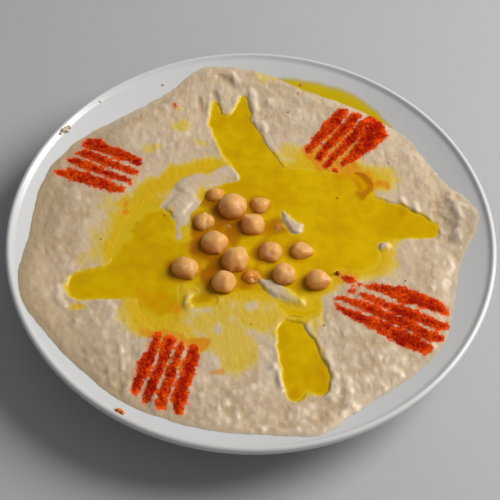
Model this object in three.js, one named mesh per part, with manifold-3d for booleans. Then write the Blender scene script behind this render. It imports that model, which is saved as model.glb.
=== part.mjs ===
// A round coupe plate of hummus, dressed the way it is served in the Levant: the spread is
// pulled out into four spoon strokes that turn round a hollow, the hollow holds chickpeas,
// olive oil fills the strokes and the hollow to one level, and four bands of paprika lie
// between the strokes.
//
// Millimetres, +Z up. The origin is the middle of the plate's foot, on the table. Seen from
// above with +Y away from the eater, the four spoon strokes end at the top, right, bottom
// and left.

import * as THREE from "three";
import { mergeVertices } from "three/addons/utils/BufferGeometryUtils.js";
import Module from "manifold-3d";

const wasm = await Module();
wasm.setup();

// ---------------------------------------------------------------------------
// Driving dimensions
// ---------------------------------------------------------------------------

const GAP = 0.3; // between two pieces that touch

// Plate
const PLATE_RADIUS = 105;
const RIM_HEIGHT = 28;
const RIM_THICKNESS = 2.5; // across the lip, at the top
const RIM_BAND = 3.8; // height of the upright edge outside the lip
const FLOOR_HEIGHT = 6.5; // of the inside, at the middle
const WALL_TOP = 27; // of the inside, where the lip begins
const WALL_POWER = 2.2; // how late the inside turns up
const WALL_THICKNESS = 4.2;
const FOOT_RADIUS = 50;
const FOOT_WIDTH = 5;
const PLATE_SEGMENTS = 48;
const PLATE_RINGS = 6; // rings of faces from the middle to the lip

// Hummus: heights above the table
const OIL_LEVEL = 21.5;
const MIDDLE_LEVEL = 23; // of the spread round the hollow
const FILM_LEVEL = 22; // of the spread where a film of oil has run over it
const SHOULDER_RISE = 1.3; // how much higher it stands towards its edge
const EDGE_WIDTH = 8; // of the rounding at the edge
const EDGE_THICKNESS = 1.9; // least thickness just inside that rounding
const EDGE_FOOT = 0.4; // thickness at the very edge, above the gap
const POOL_DEPTH = 2.6;
const POOL_SLOPE = 5; // distance over which a pool gets deep
const HOLLOW_DEPTH = 2.2; // what the hollow for the chickpeas adds
const HOLLOW_RADIUS = 24;
const STROKE_SHORE = 0.8; // distance over which the spread leaves the oil beside a stroke
const POOL_SHORE = 5; // the same beside a pool, which has gentler sides
const STROKE_BANK = 1; // how high the spread stands beside a stroke
const BANK_REACH = 18; // distance over which it rises from there
const WET_REACH = 12; // distance over which it rises from its wet parts
const LIP_HEIGHT = 0.3; // of the ridge that the spoon pushes up beside a stroke
const CRUMB_HEIGHT = 1.2; // of the crumbs that stand out of the oil
const CRUMB_SIDE = 1.5; // distance over which their sides come down to the oil
const GRID_RINGS = 18;

// Chickpeas
const PEA_SEGMENTS = 10;
const PEA_RINGS = 7;
const PEA_STRETCH = 2.12; // length over mean radius, because of the beak
const PEA_FLATNESS = 0.93; // height over length
const PEA_NARROWNESS = 0.96; // width over length

// Paprika
const PAPRIKA_HEIGHT = 0.5;
const PAPRIKA_STATIONS = 7;

// The hummus's outline on the plate, counter-clockwise from the right corner.
const OUTLINE = [
  [99, 14], [94, 23.5], [87, 31.5], [79, 44.5], [70.5, 58], [62, 66], [50, 75.5],
  [35, 83], [21, 88.8], [8, 94], [-7, 97], [-24, 96.5], [-31, 92], [-40, 83],
  [-60, 68], [-74, 57], [-88, 39], [-94, 22], [-95.5, 0], [-97.5, -27], [-94, -38],
  [-85, -50], [-70, -66], [-50, -82.5], [-30, -90.5], [-10, -95], [10, -96], [29, -96],
  [40, -87.5], [53, -77], [69, -65], [80.5, -51], [86, -29.5], [90, -10.5], [96.5, 4],
];

// Strokes of the spoon: each is a chain of [x, y, half width].
const STROKES = [
  [[-8.8, 61, 9.6], [-3.6, 50, 9.7], [4, 37, 9.4]], // top
  [[-18.6, 77, 0.9], [-16.5, 66, 3.4]], // its two tails
  [[-5.4, 81, 0.9], [-5.5, 72, 3.9]],
  [[52, 12, 11], [62, 12, 9.4], [71, 9.8, 6.6], [76.5, 7.8, 4.6]], // right
  [[17.5, -46, 5.5], [19.5, -53, 7.4], [23, -65.5, 8.6]], // bottom
  [[19, -70, 4], [19.2, -75.4, 3.1]], // its two corners
  [[28, -66, 4.5], [29.2, -72.4, 3.2]],
  [[-45, -21, 9.5], [-62, -24.5, 8.3], [-70, -26, 6.8]], // left
];
const POOLS = [
  [[8, 28, 12], [22, 26, 15], [38, 24, 13.5]], // right of the hollow
  [[20, 10, 14], [40, 10, 13], [52, 12, 11]],
  [[30, -2, 12], [46, -6.5, 9.5]],
  [[47, 32, 6.5], [46, 26, 7]],
  [[-8, 19, 12.5], [2, 8, 14]], // the hollow itself
  [[-14, 10, 12], [-12, -8, 16]],
  [[-12, -10, 18], [12, -10, 17]],
  [[10, -15, 13], [26, -17, 10]],
  [[-44, 6, 11], [-46, -10, 13.5], [-24, -14, 9]], // left of the hollow
  [[-40, -25, 9], [-38, -33, 8.5]],
];
// Where a film of oil has run out over the spread, which lies low there.
const WET = [
  [[-59, -4, 10], [-55, 10, 9], [-46, 22, 8], [-35, 34, 6], [-20, 38, 5], [-12, 39, 4]],
  [[-8, -40, 17], [-12, -56, 12]],
  [[16, 48, 8], [22, 54, 5]],
  [[56, -6, 7], [60, -12, 3]],
  [[55, 33, 5], [60, 33, 5]],
];
// Mounds at the far end of each stroke: [x, y, radius, height].
const MOUNDS = [
  [-15, 86, 9, 2.2],
  [88, 11, 8, 2],
  [27, -86, 9, 2],
  [-82, -28, 9, 2],
];
// Crumbs of hummus that stand out of the oil, chains like the strokes.
const CRUMBS = [
  [[13.8, 15.4, 0.4], [15.6, 11.6, 1.5], [19.4, 6.8, 2.7]],
  [[5.8, -21.6, 1.2], [8, -23.4, 2.2], [11.5, -26.4, 2.6]],
];

// Chickpeas: [x, y, length, turn of the beak in degrees, depth pressed into the hummus].
const CHICKPEAS = [
  [-16.5, 23.7, 8.6, 35, 3.2],
  [-8.4, 16.8, 13.4, 200, 1.5],
  [3.4, 18.8, 10, 10, 2.9],
  [-20.8, 9, 10.4, 250, 3.2],
  [0.5, 7.5, 11.6, 120, 0.5],
  [-15.8, -2.9, 13, 70, 2.3],
  [-6.8, -11.7, 12.6, 62, 0.3],
  [8.2, -6.5, 11.7, 300, 1.5],
  [21.7, -5.5, 10.4, 355, 2.8],
  [-27.6, -16.6, 12, 180, 2.8],
  [-11.1, -23.5, 11.2, 215, 1.7],
  [0.2, -19.6, 9.2, 20, 2.5],
  [14.3, -18.8, 11, 95, 1.1],
  [28.7, -21.1, 10.4, 350, 1.3],
  [12, 7.2, 7.2, 140, 3],
  [-10.3, 6.9, 8, 10, 3],
];

// Paprika: each band is a chain of [x, y, half width], like the strokes.
const PAPRIKA = [
  [[-75, 50, 2.2], [-71.5, 50, 3.2], [-66, 46.8, 2.2], [-59, 44, 2.5], [-51.5, 41, 1.5]],
  [[-78.5, 44.2, 1], [-75.5, 44, 2.2], [-61.5, 38, 1.8], [-52.5, 34.8, 1]],
  [[-82, 39.4, 1.2], [-78.8, 39, 1.8], [-64, 33, 1.6], [-55, 30.2, 0.8]],
  [[-86.5, 32.3, 0.8], [-81.3, 32.2, 2.7], [-66.8, 27.7, 2.6], [-58.5, 25, 1.4]],
  [[40.7, 72.6, 2.3], [37.5, 68.3, 2.5], [28.3, 55.9, 2.2], [24.2, 49.6, 1]],
  [[47, 71, 1.9], [40.4, 61.3, 2.2], [32, 50.4, 1.4], [29.4, 46, 1]],
  [[49.8, 66.3, 1.4], [47.4, 61, 1.8], [39, 50, 1.7], [32.8, 41.8, 0.9]],
  [[54.5, 66.8, 4.4], [55.8, 60.7, 5], [52.3, 55.3, 3.8], [44.7, 47, 2], [40.6, 43.3, 0.8]],
  [[48.5, -23, 0.5], [53, -23.5, 1.4], [65, -27.7, 3.7], [79, -33.5, 2.7], [82, -35.5, 1.3]],
  [[47, -27.4, 0.9], [56.5, -32.3, 1.6], [63.3, -36, 2.5], [76.5, -42, 2.2], [81, -43, 1.7]],
  [[37.4, -29, 0.6], [47, -32.8, 1.8], [59, -39.5, 2.1], [75, -48.4, 2.1], [78.6, -49, 1.4]],
  [[37, -33.4, 0.7], [41.8, -37.3, 1.4], [53, -43, 2.5], [65, -49.6, 3.5], [72, -54, 2.2]],
  [[-37.6, -50.6, 1.1], [-38.5, -55.7, 1.7], [-42, -66, 2.5], [-45, -77.4, 1.2]],
  [[-32.7, -52.7, 2.2], [-34.7, -63.6, 1.6], [-39.3, -76.7, 1.8], [-40, -81.7, 1.2]],
  [[-27.6, -54, 0.9], [-30, -64.7, 1.7], [-33.3, -77.6, 1.8], [-34, -84, 1.5]],
  [[-22.8, -55.6, 1.6], [-22.6, -59, 2.1], [-26, -74.4, 2.5], [-27, -81, 2.8], [-27, -85.6, 1.5]],
];

// Oil that has run over the edge onto the plate's wall.
const CRESCENT_START = 43; // degrees, near the right end
const CRESCENT_END = 85; // near the top end
const CRESCENT_WIDTH = 6.5;
const CRESCENT_THICKNESS = 1;
const CRESCENT_STATIONS = 22;

// ---------------------------------------------------------------------------
// Small helpers
// ---------------------------------------------------------------------------

const clamp = (v, low, high) => Math.min(high, Math.max(low, v));

function smoothstep(low, high, v) {
  const t = clamp((v - low) / (high - low), 0, 1);
  return t * t * (3 - 2 * t);
}

const mix = (a, b, t) => a + (b - a) * t;

const bell = (distance, radius) => Math.exp(-((distance / radius) ** 2));

// Uneven but repeatable: a value between -1 and 1 for a whole number.
function uneven(n) {
  const v = Math.sin(n * 12.9898) * 43758.5453;
  return 2 * (v - Math.floor(v)) - 1;
}

function toSolid(geometry) {
  const bare = geometry.clone();
  for (const name of Object.keys(bare.attributes)) {
    if (name !== "position") bare.deleteAttribute(name);
  }
  const merged = mergeVertices(bare, 1e-4);
  return new wasm.Manifold(
    new wasm.Mesh({
      numProp: 3,
      vertProperties: new Float32Array(merged.attributes.position.array),
      triVerts: new Uint32Array(merged.index.array),
    }),
  );
}

function toGeometry(solid) {
  const mesh = solid.getMesh();
  const geometry = new THREE.BufferGeometry();
  geometry.setAttribute("position", new THREE.BufferAttribute(mesh.vertProperties, 3));
  geometry.setIndex(new THREE.BufferAttribute(mesh.triVerts, 1));
  geometry.computeVertexNormals();
  return geometry;
}

function fromArrays(positions, indices) {
  const geometry = new THREE.BufferGeometry();
  geometry.setAttribute("position", new THREE.Float32BufferAttribute(positions, 3));
  geometry.setIndex(indices);
  return geometry;
}

// Rings of equal numbers of points, each ring joined to the next and both ends capped.
function loft(rings) {
  const around = rings[0].length;
  const positions = rings.flat(2);
  const indices = [];
  for (let i = 0; i + 1 < rings.length; i++) {
    for (let j = 0; j < around; j++) {
      const a = i * around + j;
      const b = i * around + ((j + 1) % around);
      indices.push(a, b, b + around, a, b + around, a + around);
    }
  }
  const last = (rings.length - 1) * around;
  for (let j = 1; j + 1 < around; j++) {
    indices.push(0, j + 1, j);
    indices.push(last, last + j, last + j + 1);
  }
  return fromArrays(positions, indices);
}

// ---------------------------------------------------------------------------
// Plate
// ---------------------------------------------------------------------------

const LIP_RADIUS = PLATE_RADIUS - RIM_THICKNESS; // where the wall ends and the lip begins

// Height of the plate's inside at a distance from its axis.
function wallHeight(r) {
  return FLOOR_HEIGHT + (WALL_TOP - FLOOR_HEIGHT) * (r / LIP_RADIUS) ** WALL_POWER;
}

// Radii at which the inside is faceted, the same for the plate and for what lies in it.
function ringRadii(count, reach) {
  return Array.from({ length: count + 1 }, (_, i) => reach * (i / count) ** 0.8);
}

function plateGeometry() {
  const points = [];
  // Inside, from the axis to the lip.
  for (const r of ringRadii(PLATE_RINGS, LIP_RADIUS)) points.push([r, wallHeight(r)]);
  // Over the lip and down the upright band.
  const middle = PLATE_RADIUS - RIM_THICKNESS / 2;
  points.push([LIP_RADIUS + 0.5, RIM_HEIGHT - 0.25]);
  points.push([middle, RIM_HEIGHT]);
  points.push([PLATE_RADIUS - 0.3, RIM_HEIGHT - 0.5]);
  points.push([PLATE_RADIUS, RIM_HEIGHT - 1.2]);
  points.push([PLATE_RADIUS - 0.4, RIM_HEIGHT - RIM_BAND]);
  // Underside, a wall's thickness below the inside, with the foot ring standing out of it.
  const footInside = FOOT_RADIUS - FOOT_WIDTH;
  const under = ringRadii(PLATE_RINGS, LIP_RADIUS).reverse().slice(1);
  const below = (r) => points.push([r, wallHeight(r) - WALL_THICKNESS]);
  under.filter((r) => r > FOOT_RADIUS + 4).forEach(below);
  below(FOOT_RADIUS + 1.5);
  points.push([FOOT_RADIUS, 0.5]);
  points.push([FOOT_RADIUS - 0.6, 0]);
  points.push([footInside, 0]);
  below(footInside - 1.5);
  under.filter((r) => r < footInside - 4).forEach(below);
  const profile = points.reverse().map(([r, z]) => new THREE.Vector2(r, z));
  return upright(new THREE.LatheGeometry(profile, PLATE_SEGMENTS));
}

// LatheGeometry turns its profile about Y; this stands it on +Z.
function upright(lathe) {
  return lathe.rotateX(Math.PI / 2);
}

// The space inside the plate, clear of its wall by the gap.
function plateCavity() {
  const top = RIM_HEIGHT + 20;
  const profile = ringRadii(PLATE_RINGS, LIP_RADIUS).map(
    (r) => new THREE.Vector2(r, wallHeight(r) + GAP),
  );
  profile.push(new THREE.Vector2(LIP_RADIUS, top), new THREE.Vector2(0, top));
  return toSolid(upright(new THREE.LatheGeometry(profile, PLATE_SEGMENTS)));
}

// ---------------------------------------------------------------------------
// Hummus
// ---------------------------------------------------------------------------

// The outline as a radius for every half degree.
const OUTLINE_STEPS = 720;
const outlineRadii = (() => {
  const points = OUTLINE.map(([x, y]) => new THREE.Vector3(x, y, 0));
  const curve = new THREE.CatmullRomCurve3(points, true, "centripetal");
  const samples = curve.getPoints(3 * OUTLINE_STEPS).map((p) => ({
    angle: (Math.atan2(p.y, p.x) + 2 * Math.PI) % (2 * Math.PI),
    radius: Math.hypot(p.x, p.y),
  }));
  samples.sort((a, b) => a.angle - b.angle);
  let next = 0;
  return Array.from({ length: OUTLINE_STEPS }, (_, i) => {
    const angle = (i / OUTLINE_STEPS) * 2 * Math.PI;
    while (next + 1 < samples.length && samples[next].angle < angle) next++;
    return samples[next].radius;
  });
})();

function outlineRadius(angle) {
  const turns = angle / (2 * Math.PI);
  const place = (turns - Math.floor(turns)) * OUTLINE_STEPS;
  const low = Math.floor(place) % OUTLINE_STEPS;
  const high = (low + 1) % OUTLINE_STEPS;
  return mix(outlineRadii[low], outlineRadii[high], place - Math.floor(place));
}

// Distance from a point to a chain of round-ended strokes, below zero inside.
function distanceToChain(x, y, chain) {
  let least = Infinity;
  for (let i = 0; i + 1 < chain.length; i++) {
    const [ax, ay, aw] = chain[i];
    const [bx, by, bw] = chain[i + 1];
    const dx = bx - ax;
    const dy = by - ay;
    const t = clamp(((x - ax) * dx + (y - ay) * dy) / (dx * dx + dy * dy), 0, 1);
    const away = Math.hypot(x - ax - t * dx, y - ay - t * dy);
    least = Math.min(least, away - mix(aw, bw, t));
  }
  return least;
}

// Distance to the nearest of many chains, with the corners between them rounded.
function distanceTo(x, y, chains) {
  const ROUNDING = 1.5;
  let sum = 0;
  for (const chain of chains) sum += Math.exp(-distanceToChain(x, y, chain) / ROUNDING);
  return -ROUNDING * Math.log(sum + 1e-30);
}

// Broad unevenness of the spread: a few waves, each turned by the golden angle.
function lumps(x, y) {
  const WAVES = 7;
  let sum = 0;
  for (let i = 0; i < WAVES; i++) {
    const turn = i * 2.39996;
    const length = 34 - 3 * i;
    const along = x * Math.cos(turn) + y * Math.sin(turn);
    sum += Math.sin((2 * Math.PI * along) / length + 1.7 * i);
  }
  return sum * 0.16;
}

// Height of the hummus's top above the table.
function topHeight(x, y) {
  const r = Math.hypot(x, y);
  const reach = outlineRadius(Math.atan2(y, x));
  const stroke = distanceTo(x, y, STROKES);
  const oil = distanceTo(x, y, [...STROKES, ...POOLS]);
  const wet = distanceTo(x, y, [...POOLS, ...WET]);

  // Out of the oil: low beside the strokes and where it is wet, higher towards the shoulder.
  let dry = MIDDLE_LEVEL + SHOULDER_RISE * smoothstep(0.4, 0.95, r / reach) + lumps(x, y);
  for (const [mx, my, radius, height] of MOUNDS) {
    dry += height * bell(Math.hypot(x - mx, y - my), radius);
  }
  const bank = Math.min(dry, OIL_LEVEL + STROKE_BANK);
  let top = mix(bank, dry, 1 - Math.exp(-Math.max(stroke, 0) / BANK_REACH));
  top = mix(FILM_LEVEL, top, 1 - Math.exp(-Math.max(wet, 0) / WET_REACH));
  const shore = mix(STROKE_SHORE, POOL_SHORE, smoothstep(0, 8, stroke));
  top = mix(OIL_LEVEL, top, 1 - Math.exp(-Math.max(oil, 0) / shore));
  top += LIP_HEIGHT * bell(stroke - 1.8, 1.4) * smoothstep(0, 1.2, oil);

  // Under the oil.
  if (oil < 0) {
    const away = Math.hypot(x - 1, y);
    const depth = POOL_DEPTH + HOLLOW_DEPTH * bell(away, HOLLOW_RADIUS);
    top = OIL_LEVEL - depth * (1 - Math.exp(oil / POOL_SLOPE));
  }
  for (const chain of CRUMBS) {
    const crumb = Math.max(0, distanceToChain(x, y, chain) + CRUMB_SIDE);
    top = Math.max(top, OIL_LEVEL + CRUMB_HEIGHT * (1 - crumb / CRUMB_SIDE));
  }

  // Round the edge down to the plate.
  const inward = clamp((reach - r) / EDGE_WIDTH, 0, 1);
  const rounding = Math.sqrt(1 - (1 - inward) ** 2);
  const wall = wallHeight(Math.min(r, LIP_RADIUS));
  const full = Math.max(top, wall + EDGE_THICKNESS);
  return mix(wall + GAP + EDGE_FOOT, full, rounding);
}

// A square grid bent into a disc and stretched to the outline. Ring k holds 8k points, and
// the outer rings lie close together, where the edge is round.
const EDGE_RINGS = [1, 0.988, 0.966, 0.93];

function ringFraction(k) {
  const outer = GRID_RINGS - k;
  if (outer < EDGE_RINGS.length) return EDGE_RINGS[outer];
  const inner = GRID_RINGS - EDGE_RINGS.length + 1;
  return (EDGE_RINGS.at(-1) * k) / inner;
}

function gridPoint(i, j) {
  const k = Math.max(Math.abs(i), Math.abs(j));
  if (k === 0) return [0, 0];
  const wide = Math.abs(i) > Math.abs(j);
  let angle = wide ? (Math.PI / 4) * (j / i) : Math.PI / 2 - (Math.PI / 4) * (i / j);
  if ((wide && i < 0) || (!wide && j < 0)) angle += Math.PI;
  const r = outlineRadius(angle) * ringFraction(k);
  return [r * Math.cos(angle), r * Math.sin(angle)];
}

// A block under the hummus's top, down to below the plate's floor; raised moves the top.
function hummusBlock(raised) {
  const n = GRID_RINGS;
  const side = 2 * n + 1;
  const bottom = FLOOR_HEIGHT - WALL_THICKNESS;
  const positions = [];
  const indices = [];
  for (let j = -n; j <= n; j++) {
    for (let i = -n; i <= n; i++) {
      const [x, y] = gridPoint(i, j);
      positions.push(x, y, topHeight(x, y) + raised);
    }
  }
  const at = (i, j) => (j + n) * side + (i + n);
  for (let j = -n; j < n; j++) {
    for (let i = -n; i < n; i++) {
      const [a, b, c, d] = [at(i, j), at(i + 1, j), at(i + 1, j + 1), at(i, j + 1)];
      // Each cell is split along the diagonal that points at the middle.
      const outward = i >= 0 === j >= 0;
      if (outward) indices.push(a, b, c, a, c, d);
      else indices.push(a, b, d, b, c, d);
    }
  }
  const rim = [];
  for (let i = -n; i < n; i++) rim.push(at(i, -n));
  for (let j = -n; j < n; j++) rim.push(at(n, j));
  for (let i = n; i > -n; i--) rim.push(at(i, n));
  for (let j = n; j > -n; j--) rim.push(at(-n, j));
  const lower = positions.length / 3;
  for (const v of rim) positions.push(positions[3 * v], positions[3 * v + 1], bottom);
  const centre = positions.length / 3;
  positions.push(0, 0, bottom);
  rim.forEach((v, k) => {
    const next = (k + 1) % rim.length;
    indices.push(v, lower + k, lower + next, v, lower + next, rim[next]);
    indices.push(centre, lower + next, lower + k);
  });
  return toSolid(fromArrays(positions, indices));
}

// A chain's point and half width at a share of its length.
function chainAt(chain, share) {
  const lengths = chain.slice(1).map(([x, y], i) => Math.hypot(x - chain[i][0], y - chain[i][1]));
  let left = share * lengths.reduce((a, b) => a + b);
  let link = 0;
  while (link + 1 < lengths.length && left > lengths[link]) {
    left -= lengths[link];
    link++;
  }
  const t = Math.min(left / lengths[link], 1);
  return chain[link].map((value, n) => mix(value, chain[link + 1][n], t));
}

// One band of paprika: a low ridge with ragged sides that follows the hummus.
function paprikaBand(chain, seed) {
  const [startX, startY] = chain[0];
  const [endX, endY] = chain.at(-1);
  const length = Math.hypot(endX - startX, endY - startY);
  const [alongX, alongY] = [(endX - startX) / length, (endY - startY) / length];
  const rings = [];
  for (let k = 0; k <= PAPRIKA_STATIONS; k++) {
    const share = k / PAPRIKA_STATIONS;
    const [middleX, middleY, halfWidth] = chainAt(chain, share);
    const blunt = Math.sqrt(1 - (2 * share - 1) ** 8);
    const ragged = 1 + 0.16 * uneven(seed * 31 + k);
    const half = Math.max(0.5, halfWidth * blunt * ragged);
    const section = [[-1, -0.9], [1, -0.9], [0.62, PAPRIKA_HEIGHT], [-0.62, PAPRIKA_HEIGHT]];
    rings.push(
      section.map(([across, up]) => {
        const side = across * (half + 0.3);
        const x = middleX - alongY * side;
        const y = middleY + alongX * side;
        return [x, y, topHeight(x, y) + up];
      }),
    );
  }
  return toSolid(loft(rings));
}

// ---------------------------------------------------------------------------
// Chickpeas
// ---------------------------------------------------------------------------

// A round seed with a beak towards +X and two faint cheeks; grown widens it all round.
function chickpeaGeometry(length, grown, segments, rings) {
  const geometry = new THREE.SphereGeometry(1, segments, rings).rotateX(Math.PI / 2);
  const place = geometry.attributes.position;
  for (let i = 0; i < place.count; i++) {
    const p = new THREE.Vector3().fromBufferAttribute(place, i);
    const beak = 0.2 * Math.exp((p.x - 1) / 0.09);
    const cheeks = 0.05 * p.y * p.y - 0.06 * bell(p.y, 0.25) * smoothstep(-0.4, 0.8, p.x);
    const r = (length / PEA_STRETCH) * (1 + beak + cheeks) + grown;
    place.setXYZ(i, p.x * r, p.y * r * PEA_NARROWNESS, p.z * r * PEA_FLATNESS);
  }
  return geometry;
}

// Height of a chickpea's middle where it just touches the hummus below it.
function restingHeight(x, y, length) {
  const radius = length / PEA_STRETCH;
  let height = -Infinity;
  for (let ring = 0; ring <= 3; ring++) {
    const out = (ring / 4) * radius;
    for (let k = 0; k < 8; k++) {
      const angle = (k / 8) * 2 * Math.PI;
      const below = topHeight(x + out * Math.cos(angle), y + out * Math.sin(angle));
      height = Math.max(height, below + PEA_FLATNESS * Math.sqrt(radius ** 2 - out ** 2));
    }
  }
  return height;
}

const PEA_TILT = 0.25; // radians, beak a little up

function placedChickpea([x, y, length, turn, pressed], grown, segments, rings) {
  const z = restingHeight(x, y, length) - pressed;
  return chickpeaGeometry(length, grown, segments, rings)
    .rotateY(-PEA_TILT)
    .rotateZ(THREE.MathUtils.degToRad(turn))
    .translate(x, y, z);
}

// ---------------------------------------------------------------------------
// Oil
// ---------------------------------------------------------------------------

// The slab of oil up to its level, inside the outline and clear of the hummus's edge.
function oilSlab() {
  const SHARE = 0.93;
  const shape = new THREE.Shape(
    Array.from({ length: 48 }, (_, i) => {
      const angle = (i / 48) * 2 * Math.PI;
      const r = outlineRadius(angle) * SHARE;
      return new THREE.Vector2(r * Math.cos(angle), r * Math.sin(angle));
    }),
  );
  const depth = OIL_LEVEL - FLOOR_HEIGHT - 1;
  const slab = new THREE.ExtrudeGeometry(shape, { depth, bevelEnabled: false });
  return toSolid(slab.translate(0, 0, OIL_LEVEL - depth));
}

// The film between the hummus's edge and the plate's wall.
function crescentGeometry() {
  const rings = [];
  for (let k = 0; k <= CRESCENT_STATIONS; k++) {
    const t = k / CRESCENT_STATIONS;
    const angle = THREE.MathUtils.degToRad(mix(CRESCENT_START, CRESCENT_END, t));
    const fullness = Math.sqrt(Math.max(0.02, Math.sin(Math.PI * t)));
    const inner = outlineRadius(angle) + GAP;
    const outer = Math.min(inner + CRESCENT_WIDTH * fullness, LIP_RADIUS - 1);
    const thick = CRESCENT_THICKNESS * fullness;
    const middle = (inner + outer) / 2;
    const low = (r) => wallHeight(r) + GAP + 0.25;
    const section = [
      [inner, low(inner)],
      [middle, low(middle)],
      [outer, low(outer)],
      [outer - 0.4, low(outer - 0.4) + 0.4],
      [middle, low(middle) + thick],
      [inner, low(inner) + thick + 0.2],
    ];
    rings.push(section.map(([r, z]) => [r * Math.cos(angle), r * Math.sin(angle), z]));
  }
  return loft(rings.reverse());
}

// The largest body of a solid that a cut has left in pieces.
function largest(solid) {
  return solid.decompose().reduce((a, b) => (a.volume() > b.volume() ? a : b));
}

// ---------------------------------------------------------------------------
// Assembly
// ---------------------------------------------------------------------------

const finish = (color, roughness) =>
  new THREE.MeshStandardMaterial({ color, roughness, metalness: 0 });

const plateGlaze = finish(0xdcdcdc, 0.15);
const hummusCream = finish(0xc8b294, 0.5);
const chickpeaSkin = finish(0xd7a064, 0.35);
const oliveOil = finish(0xc8a500, 0.08);

const plateOfHummus = new THREE.Group();

function add(name, geometry, material) {
  const mesh = new THREE.Mesh(geometry, material);
  mesh.name = name;
  plateOfHummus.add(mesh);
}

add("plate", plateGeometry(), plateGlaze);

const peaNames = CHICKPEAS.map((_, i) => `chickpea_${String(i + 1).padStart(2, "0")}`);
const peaCuts = CHICKPEAS.map((pea) => toSolid(placedChickpea(pea, 2.5 * GAP, 8, 6)));
CHICKPEAS.forEach((pea, i) => {
  add(peaNames[i], placedChickpea(pea, 0, PEA_SEGMENTS, PEA_RINGS), chickpeaSkin);
});
const allPeaCuts = wasm.Manifold.union(peaCuts);

const cavity = plateCavity();
const bands = PAPRIKA.map((band, i) => paprikaBand(band, i + 1));
const hummus = wasm.Manifold.union([hummusBlock(0), ...bands])
  .intersect(cavity)
  .subtract(allPeaCuts);
add("hummus", toGeometry(largest(hummus)), hummusCream);

const oil = oilSlab().subtract(hummusBlock(GAP)).subtract(allPeaCuts);
const BOTTOM_STROKE_TOP = -38; // the bottom stroke's oil lies below this y
const oilBodies = oil.decompose();
const bodiesWhere = (test) =>
  oilBodies.filter((b) => test(b.boundingBox())).sort((a, b) => b.volume() - a.volume())[0];
add("oil_hollow", toGeometry(bodiesWhere((box) => box.max[1] > BOTTOM_STROKE_TOP)), oliveOil);
add("oil_bottom_stroke", toGeometry(bodiesWhere((box) => box.max[1] < BOTTOM_STROKE_TOP)), oliveOil);
add("oil_crescent", crescentGeometry(), oliveOil);

export default plateOfHummus;
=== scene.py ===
# %% [markdown]
# # A plate of hummus
#
# Hummus is a thick, grainy spread of chickpeas and sesame. It comes to the table on a shallow round
# plate: a spoon has pulled it out into four strokes that turn round a hollow, chickpeas lie in the
# hollow, olive oil fills the hollow and the strokes, and bands of paprika lie between them.
#
# This lesson gives each of these its own surface and its own finish. Every surface is a formula
# worked out on a grid with numpy, and every finish is made of shader nodes. The plain solids that
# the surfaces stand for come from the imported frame, and everything is placed by them.

import math

import bpy
import numpy as np
from mathutils import Matrix, Vector


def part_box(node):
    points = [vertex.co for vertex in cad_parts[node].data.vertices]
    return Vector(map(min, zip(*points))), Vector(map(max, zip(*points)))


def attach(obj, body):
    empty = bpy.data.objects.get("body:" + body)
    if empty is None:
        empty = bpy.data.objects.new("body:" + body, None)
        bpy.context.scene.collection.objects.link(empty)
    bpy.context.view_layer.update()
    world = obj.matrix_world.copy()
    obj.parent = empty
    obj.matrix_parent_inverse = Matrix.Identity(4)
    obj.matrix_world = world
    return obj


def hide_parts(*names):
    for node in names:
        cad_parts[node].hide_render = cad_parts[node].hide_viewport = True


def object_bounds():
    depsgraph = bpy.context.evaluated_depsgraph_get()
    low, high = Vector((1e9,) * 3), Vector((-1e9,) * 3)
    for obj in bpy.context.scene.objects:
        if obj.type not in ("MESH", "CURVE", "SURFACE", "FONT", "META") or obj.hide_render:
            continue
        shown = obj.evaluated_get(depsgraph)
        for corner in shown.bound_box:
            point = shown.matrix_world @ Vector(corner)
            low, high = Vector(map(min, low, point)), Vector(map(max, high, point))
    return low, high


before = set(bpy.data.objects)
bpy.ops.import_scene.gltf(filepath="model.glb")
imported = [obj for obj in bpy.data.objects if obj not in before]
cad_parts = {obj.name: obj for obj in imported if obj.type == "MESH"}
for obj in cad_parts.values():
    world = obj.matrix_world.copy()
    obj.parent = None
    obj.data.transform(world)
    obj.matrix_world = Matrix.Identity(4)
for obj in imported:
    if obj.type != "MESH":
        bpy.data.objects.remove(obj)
cad_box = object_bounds()
MM = 0.001  # the surfaces below are worked out in millimetres
BODY = "root"
size = [round((high - low) / MM, 1) for low, high in zip(*cad_box)]
print("solids:", len(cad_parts), "box in mm:", size)

# %% [markdown]
# ## From arrays to a mesh
#
# A mesh could be built one vertex at a time, but that is slow in Python. Here a whole array of
# points goes into the mesh in one call, then whole arrays of faces. Named numbers, one for each
# point, go along as attributes: they carry things that only the shape's formula knows, such as how
# deep the oil is, to the material.

# %% A mesh from arrays
def make_piece(name, points, faces, finish, values=None):
    """Makes an object from points in mm and a list of face arrays, each with 3 or 4 columns."""
    mesh = bpy.data.meshes.new(name)
    corners = np.concatenate([f.ravel() for f in faces]).astype(np.int32)
    sides = np.concatenate([np.full(len(f), f.shape[1]) for f in faces])
    starts = np.concatenate([[0], np.cumsum(sides)[:-1]]).astype(np.int32)
    mesh.vertices.add(len(points))
    mesh.vertices.foreach_set("co", (np.asarray(points) * MM).astype(np.float32).ravel())
    mesh.loops.add(len(corners))
    mesh.loops.foreach_set("vertex_index", corners)
    mesh.polygons.add(len(starts))
    mesh.polygons.foreach_set("loop_start", starts)
    mesh.update(calc_edges=True)
    mesh.validate()
    mesh.shade_smooth()
    for key, numbers in (values or {}).items():
        layer = mesh.attributes.new(key, "FLOAT", "POINT")
        layer.data.foreach_set("value", np.asarray(numbers, np.float32).ravel())
    mesh.materials.append(finish)
    piece = bpy.data.objects.new(name, mesh)
    bpy.context.scene.collection.objects.link(piece)
    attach(piece, BODY)
    print(name, "points", len(points), "faces", len(starts))
    return piece


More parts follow.
